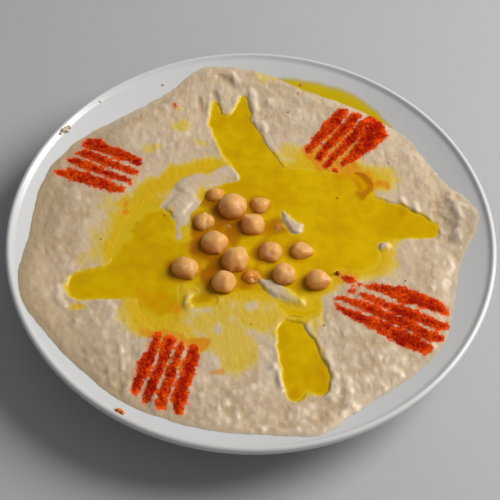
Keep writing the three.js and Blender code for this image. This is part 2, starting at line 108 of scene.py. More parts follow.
def grid_faces(rows, columns, wrap=False):
    """Four-sided faces between neighbouring rows and columns of points."""
    i = np.arange(rows - 1)[:, None]
    j = np.arange(columns if wrap else columns - 1)[None, :]
    k = (j + 1) % columns
    quads = [i * columns + j, i * columns + k, (i + 1) * columns + k, (i + 1) * columns + j]
    return np.stack(quads, axis=-1).reshape(-1, 4)


# %% [markdown]
# ## Curves that shape everything
#
# Four small functions do most of the shaping. `blend` goes from one value to another, `ease` is
# the soft step from 0 to 1, `bell` is a rounded bump, and `noise` is unevenness that is the same
# on every run, because its random numbers come from a fixed seed.

# %% Helpers for shapes
def blend(a, b, share):
    """The value at that share of the way from a to b."""
    return a + (b - a) * share


def ease(low, high, value):
    """0 below low, 1 above high, and a soft S in between."""
    t = np.clip((value - low) / (high - low), 0, 1)
    return t * t * (3 - 2 * t)


def bell(distance, radius):
    """1 at no distance, falling off as a bell curve."""
    return np.exp(-((distance / radius) ** 2))


print("ease a quarter, half and three quarters of the way:", ease(0, 1, np.array([0.25, 0.5, 0.75])))

# %% [markdown]
# Noise and grains need random numbers, but the same ones on every run and at every point. So a
# table of them is drawn once from a seed and laid over the plane cell by cell. The two functions
# differ in what they do with it: noise eases from corner to corner, and granules puts a small
# round bump somewhere in each cell, which is closer to ground chickpeas than noise is.

# %% Unevenness
CELLS = 97  # how many cells across before the random numbers repeat
GRAIN_RADIUS = 0.22  # of the smallest grain, as a share of its cell
GRAIN_SPREAD = 0.2  # how much more the largest grain has


def noise(x, y, cell, seed):
    """Between -1 and 1: random numbers at the corners of square cells, eased in between."""
    table = np.random.default_rng(seed).uniform(-1, 1, (CELLS, CELLS))
    u, v = x / cell, y / cell
    i, j = np.floor(u).astype(int), np.floor(v).astype(int)
    s, t = ease(0, 1, u - i), ease(0, 1, v - j)
    left, right, low, high = i % CELLS, (i + 1) % CELLS, j % CELLS, (j + 1) % CELLS
    near = blend(table[left, low], table[right, low], s)
    far = blend(table[left, high], table[right, high], s)
    return blend(near, far, t)


def rough(x, y, layers):
    """Unevenness of several sizes: a sum of noises, each given as its height, cell and seed."""
    return sum(height * noise(x, y, cell, seed) for height, cell, seed in layers)


def granules(x, y, cell, seed):
    """Rounded grains: each square cell holds one, at a random place, of a random size from 0 to 1.
    The height is the sum of the bells of the nine nearest."""
    drawn = np.random.default_rng(seed).uniform(0, 1, (3, CELLS, CELLS))
    i, j = np.floor(x / cell).astype(int), np.floor(y / cell).astype(int)
    height = np.zeros_like(x)
    for a in (-1, 0, 1):
        for b in (-1, 0, 1):
            at_x, at_y, how_big = drawn[:, (i + a) % CELLS, (j + b) % CELLS]
            away = np.hypot(x - (i + a + at_x) * cell, y - (j + b + at_y) * cell)
            height += how_big**2 * bell(away, cell * (GRAIN_RADIUS + GRAIN_SPREAD * how_big))
    return height


diagonal = np.linspace(0, CELLS, 400)
sample = noise(diagonal, diagonal, 1, 0)
print("noise along a diagonal, least and most:", round(sample.min(), 2), round(sample.max(), 2))

# %% [markdown]
# ## Shader sums in Python
#
# A material is a graph of nodes. Written out node by node it soon can't be read, so a small class
# wraps the output of a node and lets Python's own signs add the Math nodes. `1 - mask` and
# `noise * 0.2 + depth` then read as they would on paper. Every other node comes from one method.

# %% A small language for materials
class Value:
    """One output of a node. Arithmetic on it adds Math nodes to the same recipe."""

    def __init__(self, recipe, socket):
        self.recipe = recipe
        self.socket = socket

    def _math(self, operation, first, second):
        return self.recipe.add("ShaderNodeMath", {"operation": operation}, {0: first, 1: second})

    def __add__(self, other):
        return self._math("ADD", self, other)

    def __sub__(self, other):
        return self._math("SUBTRACT", self, other)

    def __rsub__(self, other):
        return self._math("SUBTRACT", other, self)

    def __mul__(self, other):
        return self._math("MULTIPLY", self, other)

    __radd__ = __add__
    __rmul__ = __mul__


class Recipe:
    """A material in the making."""

    def __init__(self, name):
        self.material = bpy.data.materials.new(name)
        self.material.use_nodes = True
        self.tree = self.material.node_tree
        self.tree.nodes.clear()

    def add(self, kind, settings=None, inputs=None, output=0):
        """Adds a node of that kind: settings first, then its sockets, which take a Value or a
        plain number or colour. Gives back the chosen output."""
        node = self.tree.nodes.new(kind)
        for name, setting in (settings or {}).items():
            setattr(node, name, setting)
        for key, value in (inputs or {}).items():
            if isinstance(value, Value):
                self.tree.links.new(value.socket, node.inputs[key])
            else:
                node.inputs[key].default_value = value
        return Value(self, node.outputs[output]) if len(node.outputs) else None

    def place(self):
        """Where a point of the piece is, in metres."""
        return self.add("ShaderNodeTexCoord", output="Object")

    def attribute(self, name):
        """A number that the shape's formula left on each point."""
        return self.add("ShaderNodeAttribute", {"attribute_name": name}, output="Fac")

    def grain(self, size_mm, detail=2.0, stretch=(1, 1, 1)):
        """Noise from 0 to 1 whose spots are about that wide. At scale 1 they are half a unit."""
        scaled = self.add(
            "ShaderNodeVectorMath",
            {"operation": "MULTIPLY"},
            {0: self.place(), 1: tuple(1 / s for s in stretch)},
        )
        sockets = {"Vector": scaled, "Scale": 0.5 / (size_mm * MM), "Detail": detail}
        return self.add("ShaderNodeTexNoise", inputs=sockets)

    def step(self, value, low, high):
        """0 below low, 1 above high, eased in between."""
        sockets = {"Value": value, "From Min": low, "From Max": high}
        return self.add("ShaderNodeMapRange", {"interpolation_type": "SMOOTHSTEP"}, sockets)

    def mix(self, share, first, second):
        """A colour between two colours. Sockets 6 and 7 of the Mix node take colours, and its
        output 2 gives one."""
        settings = {"data_type": "RGBA", "clamp_factor": True}
        return self.add("ShaderNodeMix", settings, {0: share, 6: first, 7: second}, output=2)

    def bump(self, height, distance_mm, strength=1.0):
        """A normal tilted by a height from 0 to 1 that stands for so many millimetres."""
        sockets = {"Height": height, "Distance": distance_mm * MM, "Strength": strength}
        return self.add("ShaderNodeBump", inputs=sockets, output="Normal")

    def finish(self, **sockets):
        """The surface itself, from the Principled shader's sockets, with _ for a space."""
        named = {key.replace("_", " "): value for key, value in sockets.items()}
        shader = self.add("ShaderNodeBsdfPrincipled", inputs=named)
        self.add("ShaderNodeOutputMaterial", inputs={"Surface": shader})
        print("finish", self.material.name, "nodes", len(self.tree.nodes))
        return self.material


def colour(red, green, blue):
    """A colour given as on a screen, 0 to 255, as the linear values that light adds in: a short
    straight start, then a power of 2.4."""
    linear = [(c / 255 / 12.92) if c < 10.3 else ((c / 255 + 0.055) / 1.055) ** 2.4
              for c in (red, green, blue)]
    return (*linear, 1.0)


print("middle grey in linear values:", round(colour(128, 128, 128)[0], 3))

# %% [markdown]
# ## The plate
#
# The plate is a shallow coupe of glazed white porcelain: a flat middle that turns up late into a
# low wall, a rounded lip, a short upright band outside and a foot ring underneath. It was turned
# on a wheel or pressed in a turning mould, so one profile carried round the axis is the whole
# shape. A modelled cylinder with bevels could stand in for it, but the wall is a long curve that
# only a formula gives.

# %% The plate's profile
plate_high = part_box("plate")[1] / MM
PLATE_RADIUS = plate_high.x
RIM_HEIGHT = plate_high.z
LIP_RADIUS = PLATE_RADIUS - 2.5  # where the inside ends and the lip begins
FLOOR_HEIGHT = 6.5
WALL_RISE = 20.5
WALL_POWER = 2.2
WALL_THICKNESS = 4.2
FOOT_RADIUS = 50
FOOT_WIDTH = 5
FOOT_ROUNDING = 0.8  # of the two edges that the foot stands on
FOOT_SPREAD = 1.5  # how much wider the foot is on each side, where it joins the wall
BAND_TURN = (PLATE_RADIUS - 3.2, RIM_HEIGHT - 3, 2.9, 2.2)  # ellipse: middle, then half axes
LIP_TURN = (PLATE_RADIUS - 1.4, RIM_HEIGHT - 1.3, 1.4, 1.3)
OUTSIDE_END = PLATE_RADIUS - 6  # where the wall's outside turns into the upright band


def wall_height(r):
    """Height of the plate's inside: the middle's height plus a power of the radius."""
    return FLOOR_HEIGHT + WALL_RISE * (r / LIP_RADIUS) ** WALL_POWER


def arc(middle_r, middle_z, radius_r, radius_z, start, end, steps):
    """Part of an ellipse from one angle to another, in degrees, as rows of radius and height."""
    a = np.radians(np.linspace(start, end, steps))
    return np.column_stack([middle_r + radius_r * np.cos(a), middle_z + radius_z * np.sin(a)])


def along_wall(start, end, steps, drop):
    """A stretch of the wall's curve, dropped by so much."""
    r = np.linspace(start, end, steps)
    return np.column_stack([r, wall_height(r) - drop])


inside_foot = FOOT_RADIUS - FOOT_WIDTH
plate_profile = np.vstack([
    along_wall(0, inside_foot - FOOT_SPREAD, 12, WALL_THICKNESS),
    arc(inside_foot + FOOT_ROUNDING, FOOT_ROUNDING, FOOT_ROUNDING, FOOT_ROUNDING, 180, 270, 5),
    arc(FOOT_RADIUS - FOOT_ROUNDING, FOOT_ROUNDING, FOOT_ROUNDING, FOOT_ROUNDING, 270, 360, 5),
    along_wall(FOOT_RADIUS + FOOT_SPREAD, OUTSIDE_END, 26, WALL_THICKNESS),
    arc(*BAND_TURN, 300, 358, 6),
    arc(*LIP_TURN, 0, 115, 12),
    along_wall(LIP_RADIUS, 0, 60, 0),
])
print("plate profile points", len(plate_profile))

# %% [markdown]
# Blender's Screw modifier could carry the profile round, but it would pinch the two poles. Here
# the rings are worked out as one array, and each pole is one point with a fan of triangles.

# %% Carry the profile round
PLATE_SEGMENTS = 288


def turned(profile, segments):
    """A closed surface of revolution: the profile starts and ends on the axis, and each of its
    other points becomes a ring. The two poles are single points with a fan of triangles."""
    angle = np.linspace(0, 2 * math.pi, segments, endpoint=False)
    rings = profile[1:-1]
    x = rings[:, :1] * np.cos(angle)
    y = rings[:, :1] * np.sin(angle)
    z = np.repeat(rings[:, 1:], segments, axis=1)
    points = np.stack([x, y, z], axis=-1).reshape(-1, 3)
    bottom, top = len(points), len(points) + 1
    points = np.vstack([points, [0, 0, profile[0, 1]], [0, 0, profile[-1, 1]]])
    j = np.arange(segments)
    k = (j + 1) % segments
    last = (len(rings) - 1) * segments
    fans = np.vstack([
        np.column_stack([np.full(segments, bottom), k, j]),
        np.column_stack([np.full(segments, top), last + j, last + k]),
    ])
    return points, [grid_faces(len(rings), segments, wrap=True), fans]


plate_points, plate_faces = turned(plate_profile, PLATE_SEGMENTS)
print("plate points", len(plate_points))


# %% [markdown]
# The glaze is white and glossy, a little uneven where it pooled, and faintly grey, with fine dust
# in it. The unevenness is a bump so low that only the reflections show it.

# %% The glaze
def glaze_finish():
    """White with soft grey clouds and fine dark specks, under a thin clear coat."""
    recipe = Recipe("glaze")
    clouds = recipe.grain(22, detail=3)
    specks = recipe.step(recipe.grain(0.5, detail=1), 0.74, 0.8)
    white = recipe.mix(clouds, colour(203, 204, 205), colour(212, 212, 211))
    return recipe.finish(
        Base_Color=recipe.mix(specks * 0.3, white, colour(150, 146, 140)),
        Roughness=recipe.step(clouds, 0.2, 0.8) * 0.08 + 0.24,
        Normal=recipe.bump(recipe.grain(7), 0.06),
        Coat_Weight=0.2,
        Coat_Roughness=0.14,
    )


plate = make_piece("plate_glazed", plate_points, plate_faces, glaze_finish())
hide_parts("plate")

# %% [markdown]
# ## A map of the spread
#
# Seen from above, the spread is a map. Its outline has a corner at the end of each stroke, where
# the spoon pushed it outwards. It is given by its corners alone, with a smooth closed curve
# through them, as a drawn path could be. The curve is worked out here because the grid needs its
# radius at every angle.

# %% Outline
OUTLINE = np.array([  # corners, counter-clockwise from the right stroke
    [99, 14], [94, 23.5], [87, 31.5], [79, 44.5], [70.5, 58], [62, 66], [50, 75.5],
    [35, 83], [21, 88.8], [8, 94], [-7, 97], [-24, 96.5], [-31, 92], [-40, 83],
    [-60, 68], [-74, 57], [-88, 39], [-94, 22], [-95.5, 0], [-97.5, -27], [-94, -38],
    [-85, -50], [-70, -66], [-50, -82.5], [-30, -90.5], [-10, -95], [10, -96], [29, -96],
    [40, -87.5], [53, -77], [69, -65], [80.5, -51], [86, -29.5], [90, -10.5], [96.5, 4],
])
OUTLINE_STEPS = 60  # points on the curve between two corners
RAGGED = [(0.35, 4, 71), (0.15, 1.6, 72)]  # unevenness of the edge: height, cell and seed


def closed_curve(corners, steps):
    """A smooth closed curve through the corners: each stretch is a cubic whose directions at its
    ends come from the corners on both sides, weighed by the root of their distances, so that the
    curve makes no loop where corners lie close together."""
    before, start, end, after = (np.roll(corners, n, axis=0) for n in (1, 0, -1, -2))
    d0, d1, d2 = (np.sqrt(np.linalg.norm(b - a, axis=1))[:, None]
                  for a, b in ((before, start), (start, end), (end, after)))
    leave = ((start - before) / d0 - (end - before) / (d0 + d1) + (end - start) / d1) * d1
    arrive = ((end - start) / d1 - (after - start) / (d1 + d2) + (after - end) / d2) * d1
    t = np.linspace(0, 1, steps, endpoint=False)[:, None, None]
    curve = ((2 * start - 2 * end + leave + arrive) * t**3
             + (3 * end - 3 * start - 2 * leave - arrive) * t**2 + leave * t + start)
    return curve.reshape(-1, 2)


def outline_radius(angle):
    """Radius of the outline at an angle: read off the closed curve, which is made a little ragged."""
    x, y = closed_curve(OUTLINE, OUTLINE_STEPS).T
    around, radius = np.arctan2(y, x), np.hypot(x, y) + rough(x, y, RAGGED)
    order = np.argsort(around)
    return np.interp(angle, around[order], radius[order], period=2 * math.pi)


print("outline's radius to the right, in mm:", round(float(outline_radius(0)), 1))

# %% [markdown]
# The strokes and pools are chains of circles, given as [x, y, half width], because that is how a
# spoon works: it presses a round hollow and drags it along. The distance to a chain tells how far
# a point is from the oil, and is below zero inside. One number then shapes the shore, the depth of
# the oil and the wetness beside it.

# %% Strokes and pools of oil
STROKES = [
    [[-8.8, 61, 9.6], [-3.6, 50, 9.7], [4, 37, 9.4]],  # top
    [[-18.6, 77, 0.9], [-16.5, 66, 3.4]],  # its two tails
    [[-5.4, 81, 0.9], [-5.5, 72, 3.9]],
    [[52, 12, 11], [62, 12, 9.4], [71, 9.8, 6.6], [76.5, 7.8, 4.6]],  # right
    [[17.5, -46, 5.5], [19.5, -53, 7.4], [23, -65.5, 8.6]],  # bottom
    [[19, -70, 4], [19.2, -75.4, 3.1]],  # its two corners
    [[28, -66, 4.5], [29.2, -72.4, 3.2]],
    [[-45, -21, 9.5], [-62, -24.5, 8.3], [-70, -26, 6.8]],  # left
]
POOLS = [
    [[8, 28, 12], [22, 26, 15], [38, 24, 13.5]],  # right of the hollow
    [[20, 10, 14], [40, 10, 13], [52, 12, 11]],
    [[30, -2, 12], [46, -6.5, 9.5]],
    [[47, 32, 6.5], [46, 26, 7]],
    [[-8, 19, 12.5], [2, 8, 14]],  # the hollow itself
    [[-14, 10, 12], [-12, -8, 16]],
    [[-12, -10, 18], [12, -10, 17]],
    [[10, -15, 13], [26, -17, 10]],
    [[-44, 6, 11], [-46, -10, 13.5], [-24, -14, 9]],  # left of the hollow
    [[-40, -25, 9], [-38, -33, 8.5]],
]
CREVICES = [  # small folds that hold oil too
    [[13.5, -33, 1], [17.7, -36.4, 1.8], [22.7, -37.4, 1.9], [27.2, -35.6, 1.9], [28, -31.6, 1.6],
     [25, -27, 1.6]],
    [[-22.2, -32.3, 2.4], [-18.4, -31, 3], [-15.8, -31.8, 2.2]],
]
WET = [  # low parts that hold only a film
    [[-59, -4, 10], [-55, 10, 9], [-46, 22, 8], [-35, 34, 6], [-20, 38, 5], [-12, 39, 4]],
    [[-8, -40, 17], [-12, -56, 12]],
    [[16, 48, 8], [22, 54, 5]],
    [[56, -6, 7], [60, -12, 3]],
    [[55, 33, 5], [60, 33, 5]],
]
print("strokes", len(STROKES), "pools", len(POOLS), "crevices", len(CREVICES), "wet", len(WET))

# %% [markdown]
# A spoon leaves more than the strokes: a mound at the end of each, crumbs of hummus that stand out
# of the oil, low ridges beside it, and lumps and dents. They are chains as well, with a height,
# so that each can be put where it is seen. Random lumps alone would look like sand.

# %% What the spoon left
MOUNDS = [[-15, 86, 9, 2.2], [88, 11, 8, 2], [27, -86, 9, 2], [-82, -28, 9, 2]]  # x, y, radius, height
CRUMBS = [  # these stand out of the oil
    [[13.8, 15.4, 0.8], [15.6, 11.6, 2.2], [19.4, 6.8, 3.4]],
    [[4.8, -21.4, 1.6], [8, -23.8, 3.2], [12, -26.4, 3.6], [17, -28, 2.6]],
]
RIDGES = [  # low ridges beside the oil: a chain, and the height
    ([[3.5, -24, 1], [12.6, -27, 1.4], [20.6, -30.4, 0.8]], 1.0),
    ([[-21.2, -26, 0.2], [-16.9, -28, 0.2], [-13.9, -31.4, 0.2]], 0.7),
    ([[-25.8, -34, 0.8], [-25.6, -31, 0.4]], 1.0),
    ([[52.5, -1.4, 0.8], [57.7, -1.2, 0.8]], 1.2),
    ([[-31, 28, 1.5], [-26, 31, 2], [-20, 33, 1.4], [-12, 36.5, 2.4], [-7, 36, 2]], 1.0),
    ([[-34, 15, 3], [-29, 22, 2.4]], 0.7),
]
LUMPS = [  # lumps and dents that the spoon left: a chain, and the height or the depth
    ([[-1.9, 85.2, 0.4], [-0.8, 80, 0.7], [0.1, 74.4, 0.5]], 0.7),
    ([[-10.6, 93.3, 0.3], [-8.6, 89.5, 0.4]], 0.7),
    ([[3.5, 66.1, 0.3], [5.4, 62.2, 0.3]], 0.5),
    ([[-21, 81.4, 0.1], [-21.1, 71.1, 0.1]], 0.5),
    ([[12.5, -66.2, 0.3], [13.7, -72.2, 0.4]], 0.9),
    ([[32.4, -56.4, 0.2], [33.1, -62.8, 0.3]], 0.4),
    ([[66.3, 23.9, 0.2], [66.9, 21.5, 0.2]], 0.7),
    ([[71.7, 21.4, 0.3], [72, 18.5, 0.3]], 0.6),
    ([[88.9, 18.6, 0.4], [90.7, 13.4, 0.4]], 0.8),
    ([[88.6, 6.5, 0.3], [89.6, 2.6, 0.3]], 0.7),
    ([[86.2, 24.3, 0.1], [90.2, 20.5, 0.1], [93, 18.4, 0.1]], 0.5),
    ([[-81.1, -27.4, 0.3], [-80.1, -33.4, 0.4], [-77.7, -36.7, 0.6]], 1.0),
    ([[37.8, -85.5, 0.4], [41.5, -82, 0.4]], 0.9),
    ([[80.6, 15.2, 1.2], [84.6, 9.8, 1.6], [86.7, 8.5, 1]], -0.5),
    ([[80.5, 4.1, 0.6], [84.2, 2.3, 0.8]], -0.6),
    ([[78.3, 21.1, 1], [83.4, 20.6, 1]], -0.4),
    ([[-17, 91.8, 0.4], [-12.9, 90.2, 0.6]], -0.8),
    ([[-19.2, 83, 0.4], [-18.1, 79.3, 0.6]], -0.7),
    ([[-26, 79.3, 0.2], [-25.3, 73.4, 0.2]], -0.6),
]
print("crumbs", len(CRUMBS), "ridges", len(RIDGES), "lumps and dents", len(LUMPS))

# %% [markdown]
# The nearest of many chains would give a shore with sharp corners where two of them meet. Oil has
# no such corners, so the distances are joined by a soft minimum, and the shore wanders a little.

# %% How far a point is from the oil
SHORE_ROUNDING = 1.5  # of the corners where two chains meet
TINY = 1e-30  # keeps the logarithm finite far from every chain
SHORE_WANDER = [(0.5, 3.4, 51), (0.3, 1.5, 52)]  # height, cell and seed


def chain_distance(x, y, chain):
    """Distance to a chain of circles joined by cones, less its half width."""
    least = np.full(np.shape(x), np.inf)
    for (ax, ay, aw), (bx, by, bw) in zip(chain[:-1], chain[1:]):
        dx, dy = bx - ax, by - ay
        t = np.clip(((x - ax) * dx + (y - ay) * dy) / (dx * dx + dy * dy), 0, 1)
        away = np.hypot(x - ax - t * dx, y - ay - t * dy)
        least = np.minimum(least, away - blend(aw, bw, t))
    return least


def shore_distance(x, y, chains):
    """Distance to the nearest of many chains, with the corners between them rounded: minus the
    logarithm of a sum of exponentials."""
    total = sum(np.exp(-chain_distance(x, y, chain) / SHORE_ROUNDING) for chain in chains)
    return -SHORE_ROUNDING * np.log(total + TINY)


def shores(x, y):
    """Distances to the strokes, to all standing oil and to the wet parts round the pools, with
    shores that wander a little, as a spoon leaves them."""
    wander = rough(x, y, SHORE_WANDER)
    stroke = shore_distance(x, y, STROKES) + wander
    oil = shore_distance(x, y, STROKES + POOLS + CREVICES) + wander
    wet = shore_distance(x, y, POOLS + WET)
    return stroke, oil, wet


middle_shores = shores(np.zeros(1), np.zeros(1))
print("the middle's distances to strokes, oil and wet parts:", *np.round(np.ravel(middle_shores), 1))

# %% [markdown]
# ## The height of the spread
#
# The height is built up in layers. The first is the spread where it is dry: a low middle, a raised
# shoulder, low waves and the mounds that the strokes pushed up. A sculpted mesh could have this
# form too, but a sum of bells and sines stays tied to the map.

# %% Height where the spread is dry
OIL_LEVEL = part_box("oil_hollow")[1].z / MM
MIDDLE_LEVEL = OIL_LEVEL + 1.5
SHOULDER_RISE = 1.3
WAVES = 7
WAVE_HEIGHT = 0.16
LONGEST_WAVE = 34
WAVE_STEP = 3  # how much shorter each wave is than the one before
WAVE_SHIFT = 1.7  # radians, so that their crests don't all meet in the middle
GOLDEN_ANGLE = 2.39996  # radians, so that no two waves run the same way
SHOULDER = 0.4, 0.95  # shares of the way out between which the shoulder rises


def waves(x, y):
    """Low waves in many directions: a sum of sines, each a little shorter than the one before."""
    total = np.zeros_like(x)
    for i in range(WAVES):
        turn = i * GOLDEN_ANGLE
        along = x * math.cos(turn) + y * math.sin(turn)
        length = LONGEST_WAVE - WAVE_STEP * i
        total += WAVE_HEIGHT * np.sin(2 * math.pi * along / length + WAVE_SHIFT * i)
    return total


def dry_height(x, y, share):
    """Height away from all oil, at a share of the way out to the edge: the middle's level, plus an
    eased shoulder, plus the waves, plus a bell for each mound."""
    height = MIDDLE_LEVEL + SHOULDER_RISE * ease(*SHOULDER, share) + waves(x, y)
    for mound_x, mound_y, radius, rise in MOUNDS:
        height = height + rise * bell(np.hypot(x - mound_x, y - mound_y), radius)
    return height


print("oil level", round(OIL_LEVEL, 1), "middle's level", round(MIDDLE_LEVEL, 1))

# %% [markdown]
# Beside the oil the spread comes down to meet it: steeply at a stroke, where the spoon's edge ran,
# and gently at a pool. Under the oil it goes on down to the bed. Both are exponentials of the
# distance to the shore, which start steeply and level out, as a soft spread does.

# %% Banks and beds
FILM_LEVEL = OIL_LEVEL + 0.5
STROKE_BANK = 0.7  # how high the spread stands beside a stroke
BANK_REACH = 18  # distance over which it rises from there
WET_REACH = 12  # distance over which the spread rises from its wet parts
STROKE_SHORE = 0.8  # distance over which the spread leaves the oil beside a stroke
POOL_SHORE = 5  # the same beside a pool, which has gentler sides
LIP_HEIGHT = 0.2
LIP_PLACE, LIP_WIDTH = 1.8, 1.4  # how far from the stroke a lip stands, and how wide it is
LIP_PATCHES = [(0.9, 4.5, 53)]  # its unevenness: height, cell and seed
RIDGE_WIDTH = 1.6
POOL_DEPTH = 2.6
HOLLOW_DEPTH = 2.2  # how much deeper the hollow is
HOLLOW_X = 1  # its middle
HOLLOW_RADIUS = 24
STROKE_SLOPE = 1.6  # distance over which a stroke gets deep
POOL_SLOPE = 5  # the same for a pool
CREVICE_DEPTH = 1.3


def bank_height(x, y, dry, stroke, oil, wet):
    """Height beside the oil: the dry height, pulled down towards the strokes, the wet parts and the
    shore, each by one minus an exponential of the distance, plus the lips and the ridges."""
    away = 1 - np.exp(-np.maximum(stroke, 0) / BANK_REACH)
    top = blend(np.minimum(dry, OIL_LEVEL + STROKE_BANK), dry, away)
    top = blend(FILM_LEVEL, top, 1 - np.exp(-np.maximum(wet, 0) / WET_REACH))
    shore = blend(STROKE_SHORE, POOL_SHORE, ease(0, 8, stroke))
    top = blend(OIL_LEVEL, top, 1 - np.exp(-np.maximum(oil, 0) / shore))
    patchy = 1 + rough(x, y, LIP_PATCHES)
    top = top + LIP_HEIGHT * patchy * bell(stroke - LIP_PLACE, LIP_WIDTH) * ease(0, 1.2, oil)
    for chain, height in RIDGES:
        ridge = bell(np.maximum(chain_distance(x, y, chain), 0), RIDGE_WIDTH)
        top = top + height * ridge * ease(0, 1, oil)
    return top


def bed_height(x, y, stroke, oil):
    """Height of the bed under the oil: the oil's level, less a depth times one minus an
    exponential of the distance from the shore. A crevice is shallower than the rest."""
    depth = POOL_DEPTH + HOLLOW_DEPTH * bell(np.hypot(x - HOLLOW_X, y), HOLLOW_RADIUS)
    steep = blend(STROKE_SLOPE, POOL_SLOPE, ease(-1, 9, stroke))
    bed = OIL_LEVEL - depth * (1 - np.exp(np.minimum(oil, 0) / steep))
    crevice = shore_distance(x, y, CREVICES)
    shallow = OIL_LEVEL - CREVICE_DEPTH * (1 - np.exp(np.minimum(crevice, 0)))
    in_crevice = crevice < shore_distance(x, y, STROKES + POOLS)
    return np.where(in_crevice, np.maximum(shallow, bed), bed)


# %% The broad form
EDGE_WIDTH = 8
EDGE_THICKNESS = 1.9
EDGE_GAP = 0.1
CRUMB_HEIGHT = 1.2
CRUMB_SIDE = 1.5
CRUMBLY = [(0.6, 2.2, 54), (0.3, 1, 55)]  # height, cell and seed


def broad_height(x, y):
    """The smooth form of the spread, without its grain: the banks, the bed where there is oil, the
    crumbs that stand out of it, and an edge rounded as a parabola down to the plate."""
    r = np.hypot(x, y)
    reach = outline_radius(np.arctan2(y, x))
    stroke, oil, wet = shores(x, y)
    top = bank_height(x, y, dry_height(x, y, r / reach), stroke, oil, wet)
    top = np.where(oil < 0, bed_height(x, y, stroke, oil), top)
    crumbly = rough(x, y, CRUMBLY)
    for chain in CRUMBS:
        crumb = np.maximum(chain_distance(x, y, chain) + crumbly + CRUMB_SIDE, 0)
        top = np.maximum(top, OIL_LEVEL + CRUMB_HEIGHT * (1 - crumb / CRUMB_SIDE))
    inward = np.clip((reach - r) / EDGE_WIDTH, 0, 1)
    rounding = 1 - (1 - inward) ** 2
    wall = wall_height(np.minimum(r, LIP_RADIUS))
    return blend(wall + EDGE_GAP, np.maximum(top, wall + EDGE_THICKNESS), rounding)


bed_middle = broad_height(np.zeros(1), np.zeros(1))[0]
print("bed in the middle of the hollow, in mm:", round(float(bed_middle), 1))

# %% [markdown]
# ## Paprika, as a map too
#
# Sixteen bands of paprika lie in four groups, each band shaken from a folded card, with a few
# loose heaps beside them. Each is a chain of circles like the pools. The bands lift the surface a
# little and colour it. Powder made of grains alone would need hundreds of thousands of them, so
# the grains come later and only where they are seen one by one.

# %% Bands of paprika
BANDS = [
    [[-75, 50, 2.2], [-71.5, 50, 3.2], [-66, 46.8, 2.2], [-59, 44, 2.5], [-51.5, 41, 1.5]],
    [[-78.5, 44.2, 1], [-75.5, 44, 2.2], [-61.5, 38, 1.8], [-52.5, 34.8, 1]],
    [[-82, 39.4, 1.2], [-78.8, 39, 1.8], [-64, 33, 1.6], [-55, 30.2, 0.8]],
    [[-86.5, 32.3, 0.8], [-81.3, 32.2, 2.7], [-66.8, 27.7, 2.6], [-58.5, 25, 1.4]],
    [[40.7, 72.6, 2.3], [37.5, 68.3, 2.5], [28.3, 55.9, 2.2], [24.2, 49.6, 1]],
    [[47, 71, 1.9], [40.4, 61.3, 2.2], [32, 50.4, 1.4], [29.4, 46, 1]],
    [[49.8, 66.3, 1.4], [47.4, 61, 1.8], [39, 50, 1.7], [32.8, 41.8, 0.9]],
    [[54.5, 66.8, 4.4], [55.8, 60.7, 5], [52.3, 55.3, 3.8], [44.7, 47, 2], [40.6, 43.3, 0.8]],
    [[48.5, -23, 0.5], [53, -23.5, 1.4], [65, -27.7, 3.7], [79, -33.5, 2.7], [82, -35.5, 1.3]],
    [[47, -27.4, 0.9], [56.5, -32.3, 1.6], [63.3, -36, 2.5], [76.5, -42, 2.2], [81, -43, 1.7]],
    [[37.4, -29, 0.6], [47, -32.8, 1.8], [59, -39.5, 2.1], [75, -48.4, 2.1], [78.6, -49, 1.4]],
    [[37, -33.4, 0.7], [41.8, -37.3, 1.4], [53, -43, 2.5], [65, -49.6, 3.5], [72, -54, 2.2]],
    [[-37.6, -50.6, 1.1], [-38.5, -55.7, 1.7], [-42, -66, 2.5], [-45, -77.4, 1.2]],
    [[-32.7, -52.7, 2.2], [-34.7, -63.6, 1.6], [-39.3, -76.7, 1.8], [-40, -81.7, 1.2]],
    [[-27.6, -54, 0.9], [-30, -64.7, 1.7], [-33.3, -77.6, 1.8], [-34, -84, 1.5]],
    [[-22.8, -55.6, 1.6], [-22.6, -59, 2.1], [-26, -74.4, 2.5], [-27, -81, 2.8], [-27, -85.6, 1.5]],
]
HEAPS = [  # small ones, spilled beside the bands
    [[39.3, -18, 0.9], [43, -20.5, 1.5]],
    [[45.8, -22, 0.4], [46.6, -22.6, 0.5]],
    [[42.5, -25.5, 0.4], [44, -26, 0.5]],
    [[36.4, 39.6, 0.5], [37.4, 38, 0.8]],
    [[-54.2, 28.8, 0.4], [-54.1, 28.6, 0.4]],
    [[44.2, 79, 0.8], [44.4, 78.8, 0.8]],
    [[-36.9, 74.5, 0.6], [-36.7, 74.3, 0.6]],
]
BAND_RAGGED = [(0.8, 1.1, 21), (0.4, 3, 22)]  # height, cell and seed


def band_distance(x, y):
    """Distance to the nearest band's ragged side, below zero on the band."""
    nearest = np.minimum.reduce([chain_distance(x, y, chain) for chain in BANDS + HEAPS])
    return nearest + rough(x, y, BAND_RAGGED)


print("bands", len(BANDS), "heaps", len(HEAPS))

# %% [markdown]
# ## Stains
#
# Oil soaks into hummus before it stands on it. Round the pools a thin film turns it pale yellow,
# and where the oil has run through paprika the film turns orange. A painted image could hold
# this, but chains with soft margins need no picture and stay sharp at any distance.

